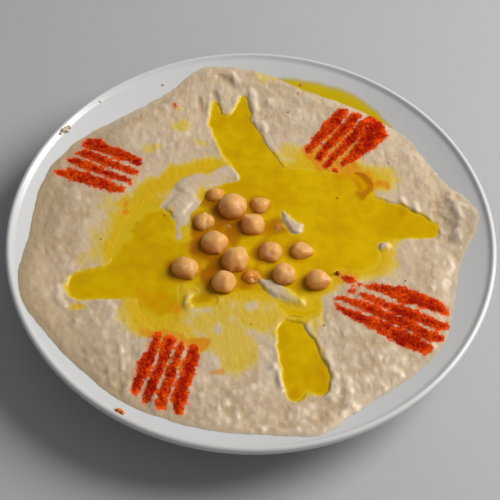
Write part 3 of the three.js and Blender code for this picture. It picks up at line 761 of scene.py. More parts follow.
# %% Where the film and the orange stain lie
FILM = [  # a chain, how strong, how soft its margin
    ([[-10, 40, 3], [-21.7, 39.5, 4.8], [-28.5, 38, 4.8], [-33.5, 35, 5], [-39, 30.3, 5.6],
      [-45, 24.5, 6.5], [-50, 17, 7]], 0.95, 2),
    ([[-40, 29.5, 2], [-46, 23, 6], [-51, 15, 7]], 1, 3),
    ([[-55, 24, 1.4], [-54.6, 17, 4.5], [-51, 12, 6]], 1, 2.4),
    ([[-62.5, 15, 3.5], [-63.5, 6, 4], [-65.5, -5, 5.5], [-66, -11, 4]], 0.5, 4),
    ([[-58, 8, 3], [-58.5, -3, 4], [-60, -12, 4]], 0.95, 4),
    ([[-50, -36, 3.5], [-41, -45, 5], [-32.7, -45.4, 6], [-26, -47, 5]], 0.8, 3),
    ([[-24, -50, 3], [-17.9, -54, 3.5]], 0.85, 2),
    ([[-18.4, -43.2, 7], [-9.9, -49.3, 10], [-3.5, -56.3, 10], [-4, -63, 5]], 0.62, 2.2),
    ([[-10, -36, 6], [5, -41.5, 7], [12, -40, 5], [24, -41, 4]], 0.7, 3),
    ([[3, 93, 1.6], [8.4, 93.2, 1.4]], 0.5, 1.6),
    ([[25.1, -41.9, 3], [27.6, -48.2, 2], [28.4, -55.4, 1]], 0.5, 1.5),
    ([[15.1, 48.9, 4.6], [21, 48, 5]], 0.6, 1.8),
    ([[24, 46, 5], [34, 40, 5], [44, 40, 4]], 0.95, 3),
    ([[56, 33, 5], [63.4, 35, 3.4]], 0.5, 2.5),
    ([[50, -6, 9], [57.9, -8, 4]], 0.55, 3),
    ([[-35.4, 62.4, 3.4], [-33.4, 62.4, 3.4]], 0.52, 1),
    ([[-47.4, 48.6, 2.6], [-43, 50.4, 0.6]], 0.5, 1),
    ([[-24.6, 53.6, 1.8], [-21, 52.8, 1.6]], 0.45, 1),
    ([[-73, -37.4, 1], [-69.5, -36.8, 1]], 0.8, 1.2),
    ([[-36, 73, 0.8], [-35, 72, 0.8]], 0.5, 0.8),
]
FILM_SPREAD = 1.7  # how much softer the film's margins are than the list has them
ORANGE = [  # oil with paprika in it
    ([[24, 52, 2], [29, 45, 3.6], [37, 42, 4], [45, 42, 4.4]], 0.9, 2.6),
    ([[40, 37, 2.6], [48, 37, 4], [50, 31, 4]], 0.8, 2.4),
    ([[28, 49, 5], [36, 49, 7], [40, 57, 8], [45, 54, 7]], 0.95, 1.2),
    ([[57, 32.8, 2], [59.4, 31.4, 1.8]], 0.8, 1.2),
    ([[-41, -50, 1.6], [-33, -50, 2.4], [-27, -52, 1.4]], 0.7, 2),
    ([[-35.4, -52, 1], [-36.5, -58, 1]], 0.8, 1.2),
    ([[-32, -63, 0.6], [-31, -60, 0.6]], 0.9, 1),
    ([[-27.5, -66, 0.6], [-27, -63, 0.6]], 0.9, 1),
    ([[-22, -53, 2], [-18.6, -51.5, 2.6], [-18, -55, 2]], 0.9, 1.2),
    ([[-20.8, -59, 0.8], [-22.6, -65, 1], [-22, -68.6, 1]], 0.75, 1),
    ([[-21, -67.5, 1.1], [-11, -66.6, 0.6]], 0.6, 1),
    ([[-55, 14, 1.6], [-55.5, 24.5, 1.4]], 0.75, 1.4),
    ([[-44, -31, 3], [-38, -36, 4], [-31, -36, 3]], 0.6, 3),
    ([[38, -17, 2.4], [42, -19, 3]], 0.6, 2),
]
BARE = [  # hummus that stands out of the film
    ([[-40, 13.5, 0.6], [-36, 20, 1.2], [-31, 28, 2.6], [-26, 31.5, 2.6], [-20, 32, 1.6]], 1, 1.2),
    ([[-20, 32, 1.4], [-12, 36.4, 3.4], [-7, 35.6, 4], [-1.6, 27, 1]], 1, 1.2),
    ([[-22, 28.5, 2.4], [-14, 31.5, 3], [-6, 31, 3]], 0.85, 1.5),
    ([[-32, -4, 0.8], [-32.5, 6, 2.6], [-29, 16, 4.6], [-27, 25, 3.4], [-30, 30, 2.4]], 1, 1.2),
    ([[-13.2, -46, 1.8], [-12.6, -46, 1.8]], 0.85, 1),
    ([[-17.2, -61.5, 3.4], [-15.4, -62.5, 3.4]], 1, 1),
    ([[6.4, -53, 1.6], [7.6, -60, 3]], 0.85, 1.4),
    ([[-63, 5.6, 0.8], [-51, 7.6, 0.8]], 0.5, 1.4),
    ([[0, -34.6, 1.6], [1.8, -34, 1.6]], 0.8, 1.4),
    ([[4, -19.5, 1], [6.5, -22.5, 2.6], [10.5, -26, 3]], 1, 0.8),
    ([[-26, -34, 1], [-25.6, -31, 0.6]], 0.9, 0.8),
    ([[4, -24.4, 1.6], [12.6, -27.2, 1.8], [20.6, -30.8, 0.8]], 0.75, 1.4),
    ([[52.5, -1.4, 1.2], [57.7, -1.2, 1.2]], 0.9, 0.8),
    ([[57, 27, 2.4], [62, 24, 2.4]], 0.9, 1.5),
    ([[13.8, 15.4, 0.8], [15.6, 11.6, 2.2], [19.4, 6.8, 3.4]], 1, 0.5),
]
# Painted shade: the fold holds deep oil, and the shade under its overhang is painted brown.
CURL_SHADE = [  # dark oil in a fold
    ([[41, 40, 0.4], [44, 39.8, 1.6], [48, 39, 2], [51.4, 36.6, 2.2], [52.8, 32.8, 1.8]], 0.85, 1),
    ([[52.8, 32.8, 1.4], [52, 28.6, 1.4], [48.8, 26, 1.6], [45.8, 28, 0.8]], 0.7, 1),
    ([[45.4, 34.6, 0.4], [47, 30.6, 1.2], [48.6, 27, 1.6]], 0.5, 1),
]
STAIN_WANDER = [(0.9, 6, 31), (0.5, 2.5, 32)]  # height, cell and seed


def stain(x, y, patches, spread=1):
    """How stained a point is: the strongest of the patches, each with a soft and uneven margin
    that spread makes wider."""
    wander = rough(x, y, STAIN_WANDER)
    clear = np.ones_like(x)
    for chain, strength, soft in patches:
        margin = soft * spread
        inside = ease(margin, -margin, chain_distance(x, y, chain) + (0.5 + soft) * wander)
        clear = np.minimum(clear, 1 - strength * inside)
    return 1 - clear


print("patches of film", len(FILM), "of orange", len(ORANGE), "bare", len(BARE))

# %% [markdown]
# ## The grain, and the whole top
#
# What makes hummus look like hummus is its grain: soft round grains of ground chickpea, pits where
# air was, and lumps drawn out by the spoon. A bump in the material could fake it, but the grains
# catch the light at their edges, so they are in the mesh. Oil has smoothed them where it lies or
# has soaked in.

# %% Grain
COARSE = [(0.2, 5.2, 11), (0.16, 2.2, 12)]  # noise: height, cell and seed
LARGE_GRAINS = (0.36, 3.4, 13)  # granules: the same
MEDIUM_GRAINS = (0.24, 2, 14)
FINE_GRAINS = (0.1, 1.4, 15)
PITS = (0.2, 5.6, 16)
NEAR_LUMPS = (0.9, 4.6, 17)  # only near the eater
NEAR_FROM, NEAR_TO = -48, -68  # the y between which they come in
DRAWN_OUT = 1.4  # how much longer the grains are towards the eater
SLANT = 0.12  # and how far they lean to the side
MEAN_GRAIN = 0.16  # taken off, so that the grain doesn't lift the spread
WET_GRAIN, DRY_GAIN = 0.32, 0.68  # grain left where it is wet, and what dryness adds
DRY_BY = 9  # distance from the wet parts where it is fully dry
FILM_SMOOTHS = 0.6  # how much of the grain a film takes away
OILED_GRAIN, SHORE_GAIN = 0.2, 0.8  # grain left under the oil, and what the shore adds
NEAR_GRAIN, FAR_LOSS = 1.1, 0.25  # grain near the eater, and how much less it is far away
DENT_WIDTH = 1.2
PAPRIKA_HEIGHT = 0.3
POWDERY = [(0.6, 1, 23)]  # unevenness of the paprika: height, cell and seed


def grains(x, y, height, cell, seed):
    """Rounded grains of one size, up to about that height."""
    return height * granules(x, y, cell, seed)


def grain_height(x, y):
    """The spread's own texture: broad unevenness, lumps drawn out a little towards the eater,
    rounded grains of three sizes, and pits between them."""
    along = y / DRAWN_OUT + SLANT * x
    round_grains = grains(x, along, *LARGE_GRAINS) + grains(x, along, *MEDIUM_GRAINS)
    fine = grains(x, y, *FINE_GRAINS)
    pits = grains(x, along, *PITS)
    lumps = grains(x, y, *NEAR_LUMPS) * ease(NEAR_FROM, NEAR_TO, y)
    return rough(x, along, COARSE) + round_grains + fine + lumps - pits - MEAN_GRAIN


def spread_height(x, y):
    """The broad form, plus the lumps and dents, plus the grain: full where the spread is dry and
    stronger near the eater, weak where oil lies or has soaked in, and none at the very edge."""
    _, oil, wet = shores(x, y)
    r = np.hypot(x, y)
    reach = outline_radius(np.arctan2(y, x))
    film = stain(x, y, FILM, FILM_SPREAD)
    dry = (WET_GRAIN + DRY_GAIN * ease(0, DRY_BY, wet)) * (1 - FILM_SMOOTHS * film)
    shore = OILED_GRAIN + SHORE_GAIN * ease(-1, 2, oil)
    nearer = NEAR_GRAIN - FAR_LOSS * ease(-70, 40, y + 0.3 * x)
    texture = grain_height(x, y) * dry * shore * nearer
    for chain, height in LUMPS:
        lump = bell(np.maximum(chain_distance(x, y, chain), 0), DENT_WIDTH)
        texture = texture + height * lump * ease(0, 1, oil)
    return broad_height(x, y) + texture * ease(0.2, 3, reach - r)


def top_height(x, y):
    """The whole top: the spread's height plus the low ridges of paprika, which are crumbly."""
    ridge = ease(0.4, -1.6, band_distance(x, y)) * (0.8 + rough(x, y, POWDERY))
    return spread_height(x, y) + PAPRIKA_HEIGHT * ridge


# %% [markdown]
# The material can't ask how far a point is from the oil, so the numbers it needs are worked out
# here, one for each point, and go along with the mesh.

# %% What the finish is told
POOL_FILM, CREVICE_FILM, STROKE_FILM = 7, 2, 1.1  # how far the film reaches beside each
BAND_SPREAD = 0.2  # how far the colour goes past the sides of a band
# Painted shade: the spread's edge is made browner on the side turned away from the light.
EDGE_SHADE_WIDTH = 26  # of the browner margin, on the side away from the light
LIT_X, LIT_Y = 0.94, 0.34  # which way the light is, seen from above


def film_map(x, y, stroke):
    """How much oil has soaked in: bells of the distance to the oil, and the patches of film, joined
    as one minus the product of what each leaves clear, less the bare places."""
    uneven = np.maximum(0.8 + 0.5 * noise(x, y, 8, 33) + 0.25 * noise(x, y, 2.8, 34), 0.15)
    pool_film = bell(np.maximum(shore_distance(x, y, POOLS), 0), POOL_FILM * uneven)
    crevice_film = bell(np.maximum(shore_distance(x, y, CREVICES), 0), CREVICE_FILM * uneven)
    stroke_film = bell(np.maximum(stroke, 0), STROKE_FILM * uneven)
    film = 1 - (1 - pool_film) * (1 - stroke_film) * (1 - crevice_film)
    film = 1 - (1 - stain(x, y, FILM, FILM_SPREAD)) * (1 - film)
    return film * (1 - stain(x, y, BARE))


def paint_map(x, y, z):
    """Everything that the hummus's finish needs to know about a point of its top."""
    stroke, _, _ = shores(x, y)
    band = band_distance(x, y) - BAND_SPREAD
    r = np.hypot(x, y)
    inward = outline_radius(np.arctan2(y, x)) - r
    unlit = ease(0.1, 0.9, -(LIT_X * x + LIT_Y * y) / (r + 1))
    return {
        "film": film_map(x, y, stroke),
        # painted shade along the edge that is turned away from the light
        "margin": ease(EDGE_SHADE_WIDTH, 0, inward) * unlit,
        "orange": stain(x, y, ORANGE),
        "paprika": ease(1.8, -1.4, band),
        "fringe": ease(3.2, 0.0, band),
        "heart": ease(-0.6, -2.4, band),
        "relief": z - broad_height(x, y),
        "under_oil": np.maximum(OIL_LEVEL - z, 0),
    }


# %% [markdown]
# ## The spread as one closed surface
#
# A square grid bent into a disc covers the top evenly, with no pole in the middle where points
# would crowd. The underside lies just above the plate, where nobody looks, so it has few rings.

# %% Grid of the spread
GRID_RINGS = 146
UNDER_RINGS = 7
UNDER_SHARES = 0.995, 0.05  # of the radius, from the first ring below to the last
UNDER_GAP = 0.15  # between the underside and the plate


def disc_grid(rings):
    """A square grid of (2 rings + 1) squared points bent into a disc: a point's ring is the larger
    of its two grid numbers, and its angle goes evenly round that ring. Gives the angle and the
    share of the radius."""
    line = np.arange(-rings, rings + 1)
    i, j = np.meshgrid(line, line)
    ring = np.maximum(np.abs(i), np.abs(j))
    wide = np.abs(i) > np.abs(j)
    safe_i, safe_j = np.where(i == 0, 1, i), np.where(j == 0, 1, j)
    angle = np.where(wide, math.pi / 4 * j / safe_i, math.pi / 2 - math.pi / 4 * i / safe_j)
    angle += np.where((wide & (i < 0)) | (~wide & (j < 0)), math.pi, 0)
    return angle, ring / rings


def rim_of_grid(rows, columns):
    """The numbers of the points round a grid's edge, counter-clockwise."""
    n = np.arange(rows * columns).reshape(rows, columns)
    return np.concatenate([n[0, :-1], n[:-1, -1], n[-1, :0:-1], n[:0:-1, 0]])


def spread_surface():
    """The top over the disc grid, then rings that go under the edge and in to the middle."""
    angle, share = disc_grid(GRID_RINGS)
    side = 2 * GRID_RINGS + 1
    r = outline_radius(angle) * share
    x, y = (r * np.cos(angle)).ravel(), (r * np.sin(angle)).ravel()
    z = top_height(x, y)
    top = np.column_stack([x, y, z])
    rim = rim_of_grid(side, side)
    inward = np.linspace(*UNDER_SHARES, UNDER_RINGS)[:, None, None]
    under = np.repeat(top[rim][None], UNDER_RINGS, axis=0)
    under[..., :2] *= inward
    under[..., 2] = wall_height(np.hypot(under[..., 0], under[..., 1])) + UNDER_GAP
    points = np.vstack([top, under.reshape(-1, 3), [0, 0, FLOOR_HEIGHT + UNDER_GAP]])
    under_numbers = side * side + np.arange(UNDER_RINGS * len(rim))
    rows = np.vstack([rim[None], under_numbers.reshape(UNDER_RINGS, -1)])
    a, b = rows[:-1], rows[1:]
    walls = np.stack([a, b, np.roll(b, -1, axis=1), np.roll(a, -1, axis=1)], -1).reshape(-1, 4)
    centre = np.full(len(rim), len(points) - 1)
    fan = np.column_stack([centre, np.roll(rows[-1], -1), rows[-1]])
    return points, [grid_faces(side, side), walls, fan], len(top)


# %% [markdown]
# Hummus is opaque but soft: light goes a millimetre or two into it and comes out warmer, so its
# shaded sides never go black. That is subsurface scattering. Its colour is a warm beige, with a
# painted highlight on the grains that stand out, painted shade between them and painted shade
# along the edge that is turned away from the light. The film and the stains lie over that, and
# wherever there is oil the surface gets a clear glossy coat.

# %% Cream and film
# Painted shade between the grains and a painted highlight on them, as two colours.
CREAM_SHADE_LOW, CREAM_HIGHLIGHT_HIGH = colour(188, 160, 125), colour(224, 204, 177)  # between grains, on them
CREAM_MOTTLE = colour(205, 190, 168)
CREAM_FLECK = colour(232, 218, 196)
# The colour of the painted shade along the edge that is turned away from the light.
CREAM_EDGE_SHADE = colour(168, 144, 112)
FILM_PALE, FILM_RICH = colour(218, 190, 100), colour(214, 182, 62)
FILM_DEEP = colour(216, 176, 14)
ORANGE_OIL = colour(220, 140, 8)
BED_YELLOW = colour(214, 178, 10)
REDDISH_SCATTER = (1.0, 0.6, 0.3)  # red light goes furthest into food


def cream_colour(recipe, relief):
    """Painted highlight on what stands out and painted shade between, with soft mottles and flecks,
    and painted shade along the edge that is turned away from the light.
    """
    # painted highlight where the grain stands out, painted shade where it sinks
    cream = recipe.mix(recipe.step(relief, -0.6, 0.6), CREAM_SHADE_LOW, CREAM_HIGHLIGHT_HIGH)
    mottle = recipe.step(recipe.grain(9, detail=4), 0.35, 0.75)
    cream = recipe.mix(mottle * 0.4, cream, CREAM_MOTTLE)
    flecks = recipe.step(recipe.grain(1.3, detail=2), 0.6, 0.75)
    cream = recipe.mix(flecks * 0.3, cream, CREAM_FLECK)
    # painted shade along the edge that is turned away from the light
    return recipe.mix(recipe.attribute("margin") * 0.75, cream, CREAM_EDGE_SHADE)


def soaked_colour(recipe, cream, relief):
    """The cream with oil in it: pale yellow, then deep yellow, then orange where paprika has run.
    Gives the colour and how orange it is."""
    uneven = recipe.grain(5, detail=5) * 0.24 - 0.12
    film = recipe.attribute("film") - relief * 0.12 + uneven
    pale_film = recipe.mix(recipe.grain(4, detail=3), FILM_PALE, FILM_RICH)
    body = recipe.mix(recipe.step(film, 0.0, 0.62), cream, pale_film)
    body = recipe.mix(recipe.step(film, 0.4, 1.0), body, FILM_DEEP)
    orange = recipe.step(recipe.attribute("orange") + uneven * 0.5, 0.08, 0.85)
    body = recipe.mix(orange * 0.9, body, ORANGE_OIL)
    under = recipe.step(recipe.attribute("under_oil"), 0.0, 0.7)
    return recipe.mix(under, body, BED_YELLOW), orange


# %% Paprika over it, and the whole finish
PAPRIKA_FRINGE = colour(232, 138, 92)
PAPRIKA_DARK, PAPRIKA_BRIGHT = colour(166, 0, 0), colour(236, 80, 0)


def paprika_colour(recipe, body, orange, powder):
    """Bands of red powder with a pinkish fringe, darker in the heart of each band. Gives the colour
    and how much paprika hides the hummus."""
    fringe = recipe.step(recipe.attribute("fringe") + powder * 0.9, 0.9, 1.5)
    body = recipe.mix(fringe * (0.5 - orange * 0.4), body, PAPRIKA_FRINGE)
    drifts = recipe.grain(5, detail=3)
    paprika = recipe.step(recipe.attribute("paprika") + powder * 1.1 + drifts * 0.4, 1.0, 1.4)
    lighter = powder * 0.8 + recipe.grain(3, detail=4) * 1.2 - recipe.attribute("heart") * 0.16
    red = recipe.mix(recipe.step(lighter, 0.72, 1.14), PAPRIKA_DARK, PAPRIKA_BRIGHT)
    return recipe.mix(paprika, body, red), paprika


def hummus_finish():
    """Cream, film and paprika laid over one another. Only what is bare of paprika is glossy."""
    recipe = Recipe("hummus_cream")
    relief = recipe.attribute("relief")
    powder = recipe.grain(0.8, detail=3)
    fine = recipe.grain(0.9, detail=3, stretch=(1, 1.6, 1))
    body, orange = soaked_colour(recipe, cream_colour(recipe, relief), relief)
    body, paprika = paprika_colour(recipe, body, orange, powder)
    return recipe.finish(
        Base_Color=body,
        Roughness=0.46 + paprika * 0.4,
        Specular_IOR_Level=0.1,
        Coat_Weight=(1 - paprika) * 0.36,
        Coat_Roughness=0.2,
        Subsurface_Weight=0.3,
        Subsurface_Radius=REDDISH_SCATTER,
        Subsurface_Scale=0.0012,
        Normal=recipe.bump(fine + powder * paprika, 0.35, 0.8),
    )


# %% Make the spread
THIN_EDGE = math.radians(100)  # sharper than this, a fold keeps a hard edge in the shading
spread_points, spread_faces, top_count = spread_surface()
painted = paint_map(*spread_points[:top_count].T)
hidden = len(spread_points) - top_count
painted = {key: np.concatenate([numbers, np.zeros(hidden)]) for key, numbers in painted.items()}
hummus = make_piece("hummus_spread", spread_points, spread_faces, hummus_finish(), painted)
hummus.data.set_sharp_from_angle(angle=THIN_EDGE)
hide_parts("hummus")

# %% [markdown]
# ## Chickpeas
#
# A boiled chickpea is a round seed with a short beak, where its root would grow, and a seam that
# runs from the beak over the back between two cheeks. Its skin is thin, matt and a little
# wrinkled. A sphere from a grid of latitude and longitude has poles that pinch, so the ball here
# is a cube blown up: six square grids whose shared edges are joined.

# %% A ball without poles
def ball(cells):
    """Unit directions over a cube's six faces, spaced evenly by angle, and the faces between."""
    line = np.tan(np.linspace(-1, 1, cells + 1) * math.pi / 4)
    u, v = np.meshgrid(line, line, indexing="ij")
    one = np.ones_like(u)
    sides = [(one, u, v), (-one, v, u), (v, one, u), (u, -one, v), (u, v, one), (v, u, -one)]
    points = np.vstack([np.stack(side, axis=-1).reshape(-1, 3) for side in sides])
    points /= np.linalg.norm(points, axis=1)[:, None]
    quads = grid_faces(cells + 1, cells + 1)[:, [0, 3, 2, 1]]
    quads = np.vstack([quads + n * (cells + 1) ** 2 for n in range(6)])
    _, first, joined = np.unique(
        np.round(points, 6), axis=0, return_index=True, return_inverse=True
    )
    return points[first], joined.ravel()[quads]


# %% [markdown]
# Each chickpea starts from the same formula and then gets marks of its own, given as the eater sees
# them: to the right, up, and towards the eye. A bump or a dimple is a bell round a direction. A
# furrow is a bell across a plane, on one side only. A facet is where the seed lay against another
# in the pot: a plane that cuts the ball, with its edge rounded. The piece is then fitted so that
# its box has the same middle as the solid it stands for.

# %% Marks of the chickpeas
# Turn of the beak in degrees, height of the beak, how sunk in oil, and marks. Heights and widths are
# shares of the radius, and each mark starts with its direction:
# bump: height and width. Furrow: depth, width and how far off the middle. Facet: how far out it cuts.
CHICKPEAS = [
    [35, 0.3, 0.15, [("bump", -0.4, 0.1, 0.8, -0.06, 0.5)]],
    [200, 0.04, 0, [("furrow", 0.84, 0.5, 0.1, 0.05, 0.24, 0.6), ("bump", 0.9, 0.1, 0.4, 0.08, 0.4),
                    ("facet", -0.6, -0.3, 0.7, 0.94)]],
    [10, 0.12, 0, [("furrow", 0.95, 0.1, 0.1, 0.05, 0.25, 0.35), ("facet", 0.9, -0.1, 0.45, 0.86),
                   ("facet", 0, 0.95, 0.3, 0.84)]],
    [250, 0.05, 0, [("furrow", 0.97, -0.05, 0, 0.1, 0.24, 0.3), ("bump", 0.05, 0.95, 0.3, 0.14, 0.2),
                    ("bump", -0.5, -0.2, 0.8, 0.05, 0.4)]],
    [120, 0.12, 0, [("facet", 0.8, 0.1, 0.6, 0.86), ("facet", 0.1, 0.9, 0.45, 0.88),
                    ("facet", -0.7, 0.2, 0.7, 0.92), ("bump", -0.6, 0.6, 0.4, 0.12, 0.25)]],
    [70, 0.05, 0, [("bump", 0.05, -0.75, 0.65, -0.18, 0.34), ("facet", 0.8, -0.25, 0.55, 0.84),
                   ("facet", -0.5, -0.6, 0.6, 0.9), ("facet", -0.3, 0.8, 0.5, 0.92)]],
    [62, 0.34, 0, [("facet", 0.85, 0, 0.5, 0.88), ("bump", 0.25, -0.3, 0.9, -0.1, 0.45),
                   ("bump", 0, -0.7, 0.7, -0.14, 0.3), ("facet", -0.8, 0.1, 0.5, 0.91)]],
    [300, 0.04, 0, [("bump", 0, 0, 1, -0.16, 0.26), ("bump", -0.4, -0.45, 0.8, -0.12, 0.3),
                    ("bump", 0.5, 0.35, 0.8, 0.06, 0.4), ("facet", -0.8, 0.3, 0.5, 0.92)]],
    [355, 0.3, 0, [("facet", 0.35, -0.55, 0.75, 0.86), ("facet", 0.2, 0.7, 0.7, 0.9)]],
    [180, 0.2, 0.05, [("bump", 0.3, -0.8, 0.5, 0.2, 0.28), ("facet", -0.2, -0.6, 0.75, 0.9)]],
    [215, 0.06, 0, [("facet", 0.72, 0.1, 0.7, 0.87), ("facet", -0.3, 0.2, 0.93, 0.93)]],
    [20, 0.1, 0.55, [("bump", 0.8, 0.1, 0.55, 0.2, 0.3), ("bump", 0.3, 0, 0.9, -0.14, 0.3)]],
    [95, 0.1, 0, [("furrow", 0.96, -0.2, 0, 0.08, 0.24, 0.1), ("bump", 0.3, -0.75, 0.5, -0.2, 0.26),
                  ("bump", -0.5, 0.5, 0.7, 0.06, 0.4)]],
    [350, 0.34, 0, [("facet", -0.1, 0.5, 0.85, 0.91), ("facet", 0.3, -0.6, 0.7, 0.9)]],
    [140, 0.1, 0.3, [("bump", -0.4, -0.3, 0.8, 0.3, 0.3), ("bump", 0.5, 0.5, 0.7, 0.3, 0.3)]],
    [10, 0.08, 1, [("bump", 0.3, 0.2, 0.9, -0.06, 0.4)]],
]
SEEN_FROM = math.radians(54.59)  # how far above the table the eye stands
FACET_ROUNDING = 0.07  # of the edge round a facet


def unit(right, up, towards):
    """A direction as the eater sees it, of length 1."""
    return np.array([right, up, towards]) / math.sqrt(right**2 + up**2 + towards**2)


def bump(radius, along, height, width):
    """The radius plus a bell of the distance from the mark's direction."""
    return radius + height * bell(np.sqrt(np.maximum(2 - 2 * along, 0)), width)


def furrow(radius, along, facing, depth, width, offset):
    """The radius less a bell across a plane, on the side that faces the eye."""
    return radius - depth * bell(along - offset, width) * facing


def facet(radius, along, cut):
    """The soft minimum of the radius and the distance to a plane, with the middle lifted back by
    what the rounding takes away there."""
    plane = cut / np.maximum(along, 0.2)
    total = np.exp(-radius / FACET_ROUNDING) + np.exp(-plane / FACET_ROUNDING)
    return -FACET_ROUNDING * np.log(total) + FACET_ROUNDING * math.log(2) * ease(0.2, 1, along)


def pea_marks(seen, radius, marks):
    """The radius in each seen direction, after the marks."""
    facing = ease(-0.1, 0.8, seen[:, 2])
    for kind, right, up, towards, *numbers in marks:
        along = seen @ unit(right, up, towards)
        if kind == "bump":
            radius = bump(radius, along, *numbers)
        elif kind == "furrow":
            radius = furrow(radius, along, facing, *numbers)
        else:
            radius = facet(radius, along, *numbers)
    return radius


print("chickpeas", len(CHICKPEAS), "marks", sum(len(row[3]) for row in CHICKPEAS))

# %% [markdown]
# The seed itself is a few terms added to the ball's radius: an exponential for the beak, a bell for
# the seam, a square for the cheeks, and noise for swelling and wrinkles. A sculpted seed copied
# sixteen times would show that it is a copy.

# %% Shape of one chickpea
PEA_CELLS = 34  # along a side of the cube
PEA_TILT = 0.25  # radians, beak a little up
PEA_FLATTENING = [1, 0.96, 0.93]  # along the beak, across and up
BEAK_WIDTH = 0.08
SEAM_DEPTH, SEAM_WIDTH = 0.02, 0.16
CHEEKS = 0.05
SWELL = 0.07
WRINKLE = 0.018
OILY_HEIGHT = 4.2  # how far above the oil the skin is still wet
OILY_LOW, UNLIT_SHADE = 0.75, 0.5  # how much wet amber near the oil, and how much painted shade away from the light
TO_LIGHT = unit(0.7, 0.6, 0.4)
directions, pea_faces = ball(PEA_CELLS)


def pea_radius(p, number, beak):
    """Radius in each direction before the marks: one, plus beak and cheeks, less the seam, plus
    swelling and wrinkles."""
    tip = beak * np.exp((p[:, 0] - 1) / BEAK_WIDTH)
    seam = SEAM_DEPTH * bell(p[:, 1], SEAM_WIDTH) * ease(-0.6, 0.8, p[:, 0])
    cheeks = CHEEKS * p[:, 1] ** 2
    swell = SWELL * noise(p[:, 0] * 2 + 9, p[:, 1] * 2 + p[:, 2], 1, number)
    u, v = p[:, 0] * 6 + p[:, 2] * 4, p[:, 1] * 6 - p[:, 2] * 3
    return 1 + tip + cheeks - seam + swell + WRINKLE * noise(u, v, 1, 50 + number)


def chickpea_shape(number, turn, beak, sunk, marks):
    """The ball times its radius, flattened a little, tilted, turned and fitted to its solid. Gives
    the points, and how amber the skin is made: wet near the oil and all over when the chickpea has
    sunk, and painted shade on the side away from the light."""
    low, high = (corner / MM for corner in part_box(f"chickpea_{number:02d}"))
    c, s = math.cos(PEA_TILT), math.sin(PEA_TILT)
    tilt = np.array([[c, 0, -s], [0, 1, 0], [s, 0, c]])
    c, s = math.cos(math.radians(turn)), math.sin(math.radians(turn))
    pose = np.array([[c, -s, 0], [s, c, 0], [0, 0, 1]]) @ tilt
    c, s = math.cos(SEEN_FROM), math.sin(SEEN_FROM)
    seen = directions @ pose.T @ np.array([[1, 0, 0], [0, s, -c], [0, c, s]])
    radius = pea_marks(seen, pea_radius(directions, number, beak), marks)
    shape = (directions * radius[:, None] * PEA_FLATTENING) @ pose.T
    shape_low, shape_high = shape.min(0), shape.max(0)
    scale = np.cbrt(np.prod(np.array(high - low) / (shape_high - shape_low)))
    middle = np.array(low + high) / 2
    points = (shape - (shape_low + shape_high) / 2) * scale + middle
    low_down = ease(OILY_HEIGHT, -0.2, points[:, 2] - OIL_LEVEL)
    # wet amber near the oil and when sunk, and amber as painted shade on the unlit side
    oil_and_shade = sunk + OILY_LOW * low_down + UNLIT_SHADE * ease(0.5, -0.9, seen @ TO_LIGHT)
    return points, np.clip(oil_and_shade, 0, 1)


print("points of one chickpea", len(directions))

# %% [markdown]
# The skin is matt and peach-coloured, with pinkish spots, and amber where it has drunk oil. The
# same amber is painted as shade on the side turned away from the light. Light goes well into a
# boiled seed, so its shaded side glows. A shallow bump gives it pores.

# %% The finish of the chickpeas
SKIN_DARK, SKIN_LIGHT = colour(208, 152, 84), colour(228, 180, 112)
SKIN_PINK = colour(230, 160, 132)
# The amber of skin wet with oil, used as painted shade on the unlit side as well.
SKIN_OILED_AND_SHADED = colour(212, 138, 44)


def chickpea_finish():
    """Peach with pink spots, amber where oiled and as painted shade on the unlit side, with light
    let deep into the seed.
    """
    recipe = Recipe("chickpea_skin")
    skin = recipe.mix(recipe.grain(3.5, detail=3), SKIN_DARK, SKIN_LIGHT)
    pink = recipe.step(recipe.grain(1.4, detail=3), 0.52, 0.7)
    skin = recipe.mix(pink * 0.4, skin, SKIN_PINK)
    oil_and_shade = recipe.step(recipe.attribute("oil_and_shade") + recipe.grain(2, detail=3) * 0.5, 0.3, 1.25)
    return recipe.finish(
        Base_Color=recipe.mix(oil_and_shade, skin, SKIN_OILED_AND_SHADED),
        Roughness=0.42,
        Specular_IOR_Level=0.2,
        Coat_Weight=0.16,
        Coat_Roughness=0.24,
        Subsurface_Weight=0.95,
        Subsurface_Radius=REDDISH_SCATTER,
        Subsurface_Scale=0.008,
        Normal=recipe.bump(recipe.grain(0.6, detail=3), 0.1, 0.6),
    )


# %% The sixteen chickpeas
skin_finish = chickpea_finish()
for number, (turn, beak, sunk, marks) in enumerate(CHICKPEAS, start=1):
    name = f"chickpea_{number:02d}"
    pea_points, oil_and_shade = chickpea_shape(number, turn, beak, sunk, marks)
    pea = make_piece(name + "_skin", pea_points, [pea_faces], skin_finish, {"oil_and_shade": oil_and_shade})
    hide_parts(name)

# %% [markdown]
# ## Olive oil
#
# The oil stands at one level in the hollow and the strokes. Its outline is wherever the hummus
# rises through that level, so the sheet of oil is cut from a square grid a little larger than the
# pools, and dives under the hummus beyond the shore. How deep it is at each point is the spread's
# height taken from the oil's: shallow oil is pale and see-through, deep oil is golden, and oil
# among the chickpeas is brown, because they shade it.

# %% A body of oil from a grid
OIL_CELL = 0.62
RIPPLE = 0.03
MENISCUS, MENISCUS_WIDTH = 0.15, 0.8  # how far the oil climbs a chickpea
DIVE = 1.6  # how far it goes under the hummus beyond the shore
DIVE_START, DIVE_END = 0.8, 2.6  # distances past the shore between which it dives
OIL_THICKNESS = 0.35  # at least, below the bed


def pea_places():
    """Middle and half width of every chickpea, from its solid."""
    boxes = [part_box(f"chickpea_{n:02d}") for n in range(1, len(CHICKPEAS) + 1)]
    return [((low + high) / 2 / MM, (high.x - low.x) / 2 / MM) for low, high in boxes]


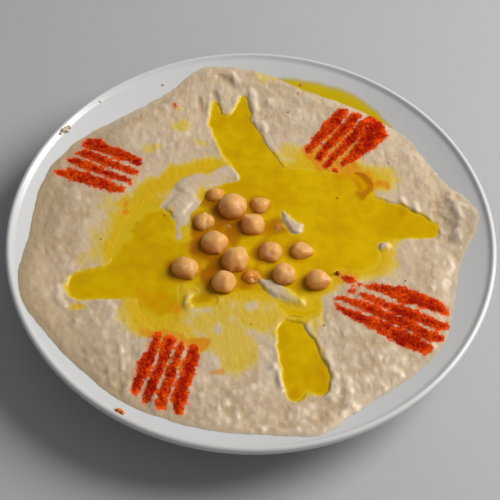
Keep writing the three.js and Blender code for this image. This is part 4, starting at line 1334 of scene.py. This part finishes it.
def oil_surface(x, y):
    """The oil's top: level, faintly rippled, drawn up a little where it meets a chickpea, and
    diving below the spread beyond the shore."""
    _, oil, _ = shores(x, y)
    level = OIL_LEVEL + RIPPLE * noise(x, y, 9, 41)
    for middle, half in pea_places():
        section = math.sqrt(max(half**2 - (OIL_LEVEL - middle.z) ** 2, 1))
        away = np.hypot(x - middle.x, y - middle.y) - section
        level = level + MENISCUS * bell(away, MENISCUS_WIDTH)
    return level - DIVE * ease(DIVE_START, DIVE_END, oil)


def cell_faces(keep, count):
    """Faces over the kept cells of a grid, the same underneath with count added to their numbers,
    and a wall on every side where the neighbouring cell isn't kept."""
    j, i = np.nonzero(keep)
    columns = keep.shape[1] + 1
    corner = j * columns + i
    top = np.column_stack([corner, corner + 1, corner + columns + 1, corner + columns])
    padded = np.pad(keep, 1)
    walls = []
    for side, (dj, di) in enumerate([(-1, 0), (0, 1), (1, 0), (0, -1)]):
        open_side = ~padded[j + 1 + dj, i + 1 + di]
        a, b = top[open_side, side], top[open_side, (side + 1) % 4]
        walls.append(np.column_stack([a, a + count, b + count, b]))
    return np.vstack([top, top[:, ::-1] + count, *walls])


def oil_body(x_range, y_range, inside):
    """The oil over the grid cells where inside(x, y) holds: its surface, its bottom a little below
    the bed, and how deep it is at each point."""
    x, y = np.meshgrid(np.arange(*x_range, OIL_CELL), np.arange(*y_range, OIL_CELL))
    keep = inside(x[:-1, :-1] + OIL_CELL / 2, y[:-1, :-1] + OIL_CELL / 2)
    faces = cell_faces(keep, x.size)
    x, y = x.ravel(), y.ravel()
    z = oil_surface(x, y)
    bed = top_height(x, y)
    bottom = np.minimum(bed, z) - OIL_THICKNESS
    points = np.vstack([np.column_stack([x, y, z]), np.column_stack([x, y, bottom])])
    depth = np.tile(np.maximum(z - bed, 0), 2)
    used, compact = np.unique(faces, return_inverse=True)
    return points[used], compact.reshape(faces.shape), depth[used]


# %% [markdown]
# A real liquid would need light traced through it, which is slow and noisy in a dish this shallow.
# This finish does it with masks instead: the depth sets how golden the oil is and how far it hides
# what lies below, a map says where it is orange, and painted brown shade goes where chickpeas,
# folds and the strokes' walls shade it. The surface is very smooth, so it takes sharp highlights.

# %% The finish of the oil
# Brown oil: deeper oil, with painted shade where chickpeas and the strokes' walls shade it.
AMBER_SHADE = [  # a chain, how strong, how soft, as for the film
    ([[-21, 22, 1], [-17.8, 19, 3], [-14, 12, 4]], 0.8, 3),
    ([[-14, 10, 4], [-6, 10.5, 4], [-8.5, 1, 3]], 0.85, 3),
    ([[-22.4, 3, 1.6], [-22, -4.4, 2.6], [-18, -10.2, 4], [-15, -17, 4], [-20, -22, 1.6]], 0.92, 3),
    ([[-34, -15, 2.4], [-28, -20, 2.4]], 0.5, 3),
    ([[-1, 11, 2], [9, 10, 3], [6, 0, 3], [2, -9, 2]], 0.45, 3),
    ([[-2.2, -23, 2], [2, -14, 1.6], [8.4, -21, 1.6]], 0.6, 3),
    ([[10, 4, 1.6], [14, 5, 2]], 0.6, 2),
    ([[-18.9, -30, 3], [-22, -34, 1.6]], 0.35, 2),
    ([[-6, 80.6, 1.4], [-5, 74, 1.6], [3.7, 59, 1], [10, 43, 1]], 0.42, 2.2),
    ([[26, -53, 1], [29, -61, 3], [31, -70, 2.6]], 0.4, 3),
    ([[18.2, -76.5, 1.6], [19.5, -73, 1]], 0.35, 1.6),
    ([[66, 17, 0.6], [74, 14, 1], [80.5, 8, 1]], 0.4, 1.6),
    ([[-77, -21, 1], [-74, -19, 1.6], [-60, -15, 1]], 0.22, 2.4),
]
THIN = [  # where the oil is paler than its depth would have it
    ([[-60, -2, 3], [-53, 8, 5], [-46, 17, 4]], 1, 5),
    ([[-46, -34, 3], [-40, -38, 3]], 0.7, 4),
]
OIL_GOLD, OIL_DEEP = colour(216, 176, 2), colour(198, 154, 0)
OIL_SHALLOW = colour(218, 184, 30)
OIL_ORANGE = colour(212, 142, 0)
# The browns of the painted shade in the oil.
OIL_SHADE_BROWN, OIL_SHADE_AMBER = colour(150, 80, 0), colour(194, 128, 6)
OIL_ROUGHNESS = 0.12


def oil_finish():
    """Gold that deepens in clouds and pales where shallow, with the orange map and the painted
    brown shade over it.
    """
    recipe = Recipe("olive_oil")
    depth = recipe.attribute("depth")
    clouds = recipe.grain(9, detail=4)
    streaks = recipe.grain(2.2, detail=3)
    golden = recipe.mix(recipe.step(clouds + streaks * 0.4, 0.45, 0.95), OIL_GOLD, OIL_DEEP)
    deep = recipe.step(depth + clouds * 0.8 + streaks * 0.3, 0.5, 1.6)
    body = recipe.mix(deep, OIL_SHALLOW, golden)
    body = recipe.mix(recipe.attribute("orange"), body, OIL_ORANGE)
    # painted shade: brown where chickpeas, walls and folds shade the oil
    amber = recipe.step(recipe.attribute("amber") + clouds * 0.3 - 0.15, 0.04, 0.96)
    body = recipe.mix(amber, body, recipe.mix(clouds, OIL_SHADE_BROWN, OIL_SHADE_AMBER))
    return recipe.finish(
        Base_Color=body,
        Roughness=OIL_ROUGHNESS,
        Specular_IOR_Level=0.08,
        Alpha=recipe.step(depth, 0.0, 0.4) * 0.06 + 0.92,
        Normal=recipe.bump(recipe.grain(5, detail=2), 0.12, 0.4),
    )


# %% The two bodies of oil
BOTTOM_STROKE_TOP = -38  # the bottom stroke's oil lies below this y
PAST_SHORE = 3.2  # how far beyond the shore the sheet of oil is kept
SHADE_SIDE = 1.6  # how far the brown beside a chickpea is shifted away from the light
SHADE = 0.54  # how brown one chickpea makes the oil beside it


def oil_values(points, depth):
    """Depth, how orange the oil is, and how brown. The brown is painted shade where chickpeas crowd
    it, most of all on the side of each that is turned away from the light, and in the listed
    patches of deep, shaded oil and in the folds."""
    x, y = points[:, 0], points[:, 1]
    clear = np.ones_like(x)
    for middle, half in pea_places():
        away = np.hypot(x - middle.x + SHADE_SIDE, y - middle.y) - half
        clear = clear * (1 - SHADE * ease(3.6, -0.6, away))
    amber = 1 - clear * (1 - stain(x, y, AMBER_SHADE))
    return {
        "depth": depth * (1 - stain(x, y, THIN)),
        "amber": np.maximum(amber, stain(x, y, CURL_SHADE)),
        "orange": stain(x, y, ORANGE),
    }


oil_paint = oil_finish()
for node, x_range, y_range in (
    ("oil_hollow", (-84, 88), (BOTTOM_STROKE_TOP - 8, 86)),
    ("oil_bottom_stroke", (4, 40), (-84, BOTTOM_STROKE_TOP)),
):
    chains = [c for c in STROKES + POOLS + CREVICES
              if (c[0][1] < BOTTOM_STROKE_TOP) == (node != "oil_hollow")]
    points, faces, depth = oil_body(
        x_range, y_range, lambda x, y: shore_distance(x, y, chains) < PAST_SHORE
    )
    oil = make_piece(node + "_oil", points, [faces], oil_paint, oil_values(points, depth))
    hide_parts(node)
    print(node, "is up to", round(depth.max(), 1), "mm deep")

# %% [markdown]
# ## Oil on the plate's wall
#
# At the upper right oil has run over the edge and lies between the hummus and the wall: a long
# crescent, thick against the hummus and fading out uphill. A square grid would cut its thin end
# into steps, so this grid has one direction along the crescent and one across it.

# %% The crescent of oil
CRESCENT_START, CRESCENT_END = 43, 85  # degrees
CRESCENT_WIDTH = 6.5
CRESCENT_UNDER = 1.8  # how far it reaches under the hummus's edge
CRESCENT_THICKNESS = 0.6
CRESCENT_START_SHARE = 0.7  # how wide it is at its start, as a share
CRESCENT_LIFT, CRESCENT_DROP = 0.06, 0.3  # of its top and its bottom, from the wall
CRESCENT_GRID = 120, 24  # points along and across


def crescent_surface(along, across):
    """Top and bottom sheets over a strip of the wall. The width follows the root of a half sine,
    narrower at the start. The thickness is a quarter ellipse that falls outwards, from a start that
    lies hidden under the hummus's edge. Gives how thick it looks as well."""
    t = np.linspace(0, 1, along)[:, None]
    s = np.linspace(0, 1, across)[None, :]
    angle = np.radians(blend(CRESCENT_START, CRESCENT_END, t))
    fullness = np.sqrt(np.maximum(0.02, np.sin(math.pi * t)))
    inner = outline_radius(angle) - CRESCENT_UNDER
    lean = blend(CRESCENT_START_SHARE, 1, ease(0, 0.55, t))
    width = (CRESCENT_WIDTH + CRESCENT_UNDER) * fullness * lean
    outer = np.minimum(inner + width, LIP_RADIUS - 1)
    r = blend(inner, outer, s)
    thick = CRESCENT_THICKNESS * fullness * np.sqrt(1 - s**2)
    wall = wall_height(r)
    x, y = r * np.cos(angle), r * np.sin(angle)
    top = np.stack([x, y, wall + CRESCENT_LIFT + thick], axis=-1).reshape(-1, 3)
    low = np.stack([x, y, wall - CRESCENT_DROP], axis=-1).reshape(-1, 3)
    sheet = grid_faces(along, across)
    count = along * across
    edge = rim_of_grid(along, across)
    after = np.roll(edge, -1)
    walls = np.column_stack([edge, edge + count, after + count, after])
    faces = np.vstack([sheet, sheet[:, ::-1] + count, walls])
    return np.vstack([top, low]), faces, np.tile((fullness * (1 - s)).ravel(), 2)


FILM_GOLD, FILM_THIN = colour(214, 182, 4), colour(214, 188, 30)


def crescent_finish():
    """Gold where thick, paler and see-through where it thins out on the wall."""
    recipe = Recipe("oil_film")
    thick = recipe.attribute("thick")
    return recipe.finish(
        Base_Color=recipe.mix(thick, FILM_THIN, FILM_GOLD),
        Roughness=OIL_ROUGHNESS,
        Specular_IOR_Level=0.1,
        Alpha=recipe.step(thick + recipe.grain(7, detail=2) * 0.1, 0.04, 0.5) * 0.97,
    )


points, faces, thick = crescent_surface(*CRESCENT_GRID)
crescent = make_piece("oil_crescent_film", points, [faces], crescent_finish(), {"thick": thick})
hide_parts("oil_crescent")
print("crescent:", len(points), "points and", len(faces), "faces")

# %% [markdown]
# ## Loose paprika
#
# Ground paprika is red to dark red flakes a few tenths of a millimetre wide. The eye sees powder,
# not single flakes, but the ragged sides of the bands and the stray specks beside them are what
# makes them look shaken on. Each flake is a small octahedron, eight faces, and all of them are
# one mesh made from arrays.

# %% A mesh of many flakes
FLAKE_FLATNESS = 0.6
FLAKE_UNEVEN = 0.65, 1.2  # least and most that a corner is moved in or out
FLAKE_SIZES = 0.6, 1.4  # least and most of the usual radius
PAST_ENDS = 0.5  # how far grains stray past the ends of a band, in mm
OCTAHEDRON = np.array([
    [0, 1, 2], [1, 3, 2], [3, 4, 2], [4, 0, 2], [1, 0, 5], [3, 1, 5], [4, 3, 5], [0, 4, 5],
])


def scattered(centres, radii, rng):
    """An octahedron for each centre: six uneven corners on randomly turned axes, with the up axis
    flattened. Axes that came out left-handed get their faces turned round. Gives points and faces."""
    count = len(centres)
    axes = rng.normal(size=(count, 3, 3))
    axes, _ = np.linalg.qr(axes)
    axes[..., 2] *= FLAKE_FLATNESS
    corners = np.concatenate([axes, -axes], axis=1) * radii[:, None, None]
    corners *= rng.uniform(*FLAKE_UNEVEN, (count, 6, 1))
    points = (centres[:, None, :] + corners).reshape(-1, 3)
    faces = OCTAHEDRON[None] + 6 * np.arange(count)[:, None, None]
    turned_in = np.linalg.det(axes) < 0
    faces[turned_in] = faces[turned_in][..., ::-1]
    return points, faces.reshape(-1, 3)


def band_grains(count, spread, seed):
    """Random places on the bands, as many on each as its area asks for. Across a band they are
    even inside and thin out past its sides by the given spread."""
    rng = np.random.default_rng(seed)
    links = np.array([start + end for chain in BANDS + HEAPS for start, end in zip(chain, chain[1:])])
    length = np.hypot(links[:, 3] - links[:, 0], links[:, 4] - links[:, 1])
    area = (length + 1) * (links[:, 2] + links[:, 5])
    which = rng.choice(len(links), count, p=area / area.sum())
    link = links[which]
    t = rng.uniform(0, 1, count) + rng.normal(0, PAST_ENDS, count) / (length[which] + 1)
    half = blend(link[:, 2], link[:, 5], np.clip(t, 0, 1))
    side = rng.uniform(-1, 1, count) * half + rng.normal(0, spread, count)
    along = (link[:, 3:5] - link[:, 0:2]) / length[which, None]
    place = blend(link[:, 0:2], link[:, 3:5], t[:, None])
    place = place + side[:, None] * np.column_stack([-along[:, 1], along[:, 0]])
    return place, rng


# %% Paprika powder and flakes
FLAKE_LIFT = 0.3  # how far a flake stands out of the surface, as a share of its radius


def flake_finish(name, dark, bright):
    """Dry and matt, in spots between two colours."""
    recipe = Recipe(name)
    shade = recipe.step(recipe.grain(0.7, detail=2), 0.3, 0.7)
    return recipe.finish(
        Base_Color=recipe.mix(shade, dark, bright), Roughness=0.8, Specular_IOR_Level=0.03
    )


for name, count, spread, radius, seed, dark, bright in (
    ("paprika_powder", 14000, 0.7, 0.17, 61, colour(178, 4, 0), colour(234, 82, 4)),
    ("paprika_flakes", 4600, 0.6, 0.2, 62, colour(128, 0, 0), colour(182, 6, 0)),
):
    place, rng = band_grains(count, spread, seed)
    radii = radius * rng.uniform(*FLAKE_SIZES, count)
    z = top_height(*place.T) + radii * FLAKE_LIFT
    points, faces = scattered(np.column_stack([place, z]), radii, rng)
    make_piece(name, points, [faces], flake_finish(name, dark, bright))
    print(name, "has", count, "grains")

# %% [markdown]
# ## Crumbs and specks
#
# A served plate is never clean: brown specks lie on the spread and in the oil, a few crumbs of
# hummus have dried on the plate's rim, and reddish ones lie near the eater and by the crescent of
# oil. Specks in the material would be flat, so each crumb is a small ball with an uneven radius,
# resting on whatever is below it.

# %% Crumbs
SPECKS = [  # x, y and radius
    [15.5, 72.5, 0.35], [37.2, -16.8, 1], [37.6, 24, 0.35], [30.9, -43.2, 0.3], [65.8, -20.2, 0.3],
    [0.7, -43.3, 0.3], [-64.9, -1.8, 0.3], [-46.6, -0.4, 0.3], [-38.1, 11.9, 0.35],
    [-32.3, -65.9, 0.5], [-54, 44, 0.25], [61, 44, 0.25],
]
DRIED = [  # most of them on the rim at the upper left
    [-86.5, 54.2, 1], [-85, 55.4, 1.3], [-83.8, 57, 0.8], [-87.2, 52.6, 0.6], [-43, 86, 0.5],
    [-71, 72.6, 0.4],
]
RED_CRUMBS = [  # three near the eater, three by the crescent of oil
    [-50.2, -88.4, 1.1], [-48.8, -88.9, 0.9], [-51.6, -87.6, 0.5], [21.7, 89.2, 0.7],
    [22.8, 88.6, 0.5], [20.2, 84.4, 0.5],
]
CRUMB_CELLS = 6  # along a side of the cube
CRUMB_UNEVEN = 0.45
CRUMB_DETAIL = 1.3  # cells of noise across a crumb's radius
CRUMB_SHIFT = 3.7  # cells between one crumb's noise and the next one's
OIL_ALL_WITHIN = 80  # crumbs nearer the middle than this float where there is oil


def crumbs(places, seed):
    """Small balls with uneven radii: a unit ball, times the radius and one plus a noise, moved to
    each place and lifted by a third of its radius above what it rests on."""
    shape, faces = ball(CRUMB_CELLS)
    x, y, radius = np.array(places).T
    shift = seed + np.arange(len(places))[:, None] * CRUMB_SHIFT
    u = shape[:, 0] * CRUMB_DETAIL + shift
    v = shape[:, 1] * CRUMB_DETAIL + shape[:, 2]
    uneven = 1 + CRUMB_UNEVEN * noise(u, v, 1, seed)
    r = np.hypot(x, y)
    on_spread = np.maximum(top_height(x, y), np.where(r < OIL_ALL_WITHIN, OIL_LEVEL, 0))
    on_plate = wall_height(np.minimum(r, LIP_RADIUS))
    z = np.where(r < outline_radius(np.arctan2(y, x)), on_spread, on_plate) + radius / 3
    middle = np.column_stack([x, y, z])
    points = middle[:, None] + shape[None] * (radius[:, None] * uneven)[..., None]
    all_faces = faces[None] + len(shape) * np.arange(len(places))[:, None, None]
    return points.reshape(-1, 3), all_faces.reshape(-1, 4)


for name, places, seed, dark, bright in (
    ("brown_specks", SPECKS, 81, colour(116, 60, 16), colour(170, 104, 40)),
    ("dried_crumbs", DRIED, 82, colour(200, 180, 150), colour(238, 224, 204)),
    ("red_crumbs", RED_CRUMBS, 83, colour(214, 96, 36), colour(240, 164, 100)),
):
    points, faces = crumbs(places, seed)
    make_piece(name, points, [faces], flake_finish(name, dark, bright))
    print(name, "has", len(places), "crumbs")

# %% [markdown]
# ## Floor, light and camera
#
# A plain pale floor under the plate. It could be a box or a bent backdrop, but a flat grid takes
# the plate's shadow just as well and no wall of it is ever in view.

# %% Floor
FLOOR_SIDE = 3000
FLOOR_POINTS = 13  # along a side
floor_line = np.linspace(-FLOOR_SIDE / 2, FLOOR_SIDE / 2, FLOOR_POINTS)
floor_x, floor_y = np.meshgrid(floor_line, floor_line)
floor_points = np.stack([floor_x, floor_y, np.zeros_like(floor_x)], axis=-1).reshape(-1, 3)


def floor_finish():
    """A matt, nearly even grey."""
    recipe = Recipe("floor")
    tone = recipe.mix(recipe.grain(60, detail=3), colour(176, 176, 178), colour(182, 182, 183))
    return recipe.finish(Base_Color=tone, Roughness=0.7)


floor_sheet = grid_faces(FLOOR_POINTS, FLOOR_POINTS)
floor = make_piece("floor", floor_points, [floor_sheet], floor_finish())
print("floor:", FLOOR_SIDE, "mm wide")

# %% [markdown]
# One large soft light stands at the right and a little behind, under a dim, even sky. A small lamp
# would give hard shadows between the chickpeas, and a sky alone would flatten the strokes. The wall
# of the plate tells whether the two are in balance: the left side, which faces the light, is about
# twice as bright as the right.

# %% Light
LIGHT_AZIMUTH = 17  # degrees from +X towards +Y
LIGHT_ELEVATION = 42
LIGHT_DISTANCE = 1.1  # metres, as its size
LIGHT_SIZE = 0.7
LIGHT_POWER = 13.5
LIGHT_COLOUR = (1.0, 0.985, 0.96)
SKY_COLOUR = (0.95, 0.97, 1.0, 1.0)
SKY_STRENGTH = 0.22


def direction(azimuth, elevation):
    """The unit vector (cos a cos e, sin a cos e, sin e), with both angles in degrees."""
    a, e = math.radians(azimuth), math.radians(elevation)
    return Vector((math.cos(a) * math.cos(e), math.sin(a) * math.cos(e), math.sin(e)))


key = bpy.data.lights.new("key", "AREA")
key.shape = "DISK"
key.size = LIGHT_SIZE
key.energy = LIGHT_POWER
key.color = LIGHT_COLOUR
key_object = bpy.data.objects.new("key", key)
bpy.context.scene.collection.objects.link(key_object)
towards = direction(LIGHT_AZIMUTH, LIGHT_ELEVATION)
turned = towards.to_track_quat("Z", "Y").to_matrix().to_4x4()
key_object.matrix_world = Matrix.Translation(towards * LIGHT_DISTANCE) @ turned

world = bpy.data.worlds.new("sky")
world.use_nodes = True
background = world.node_tree.nodes["Background"]
background.inputs["Color"].default_value = SKY_COLOUR
background.inputs["Strength"].default_value = SKY_STRENGTH
bpy.context.scene.world = world
bpy.context.scene.view_settings.view_transform = "Standard"
print("light from", [round(v, 2) for v in towards], "at", LIGHT_POWER, "W")

# %% [markdown]
# The camera looks down on the plate from the eater's side, at 54.6 degrees and turned by a degree
# and a half. It could look at a target by a constraint, but three axes written out keep that small
# turn exact. A long lens keeps the rim nearly an ellipse.

# %% Camera
CAMERA_ELEVATION = math.radians(54.59)
CAMERA_ROLL = math.radians(1.46)
CAMERA_DISTANCE = 600
AIM = Vector((-0.49, -0.036, 14))
SENSOR = 36
LENS = 98.79
CLIP_END = 20  # metres

back = Vector((0, -math.cos(CAMERA_ELEVATION), math.sin(CAMERA_ELEVATION)))
level_right = Vector((1, 0, 0))
level_up = back.cross(level_right)
roll_cos, roll_sin = math.cos(CAMERA_ROLL), math.sin(CAMERA_ROLL)
right = level_right * roll_cos + level_up * roll_sin
up = level_up * roll_cos - level_right * roll_sin
camera_data = bpy.data.cameras.new("camera")
camera_data.sensor_width = SENSOR
camera_data.lens = LENS
camera_data.clip_end = CLIP_END
camera = bpy.data.objects.new("camera", camera_data)
turn_matrix = Matrix((right, up, back)).transposed().to_4x4()
camera.matrix_world = Matrix.Translation((AIM + back * CAMERA_DISTANCE) * MM) @ turn_matrix
bpy.context.scene.collection.objects.link(camera)
bpy.context.scene.camera = camera
print("camera at", [round(v, 3) for v in camera.matrix_world.translation])
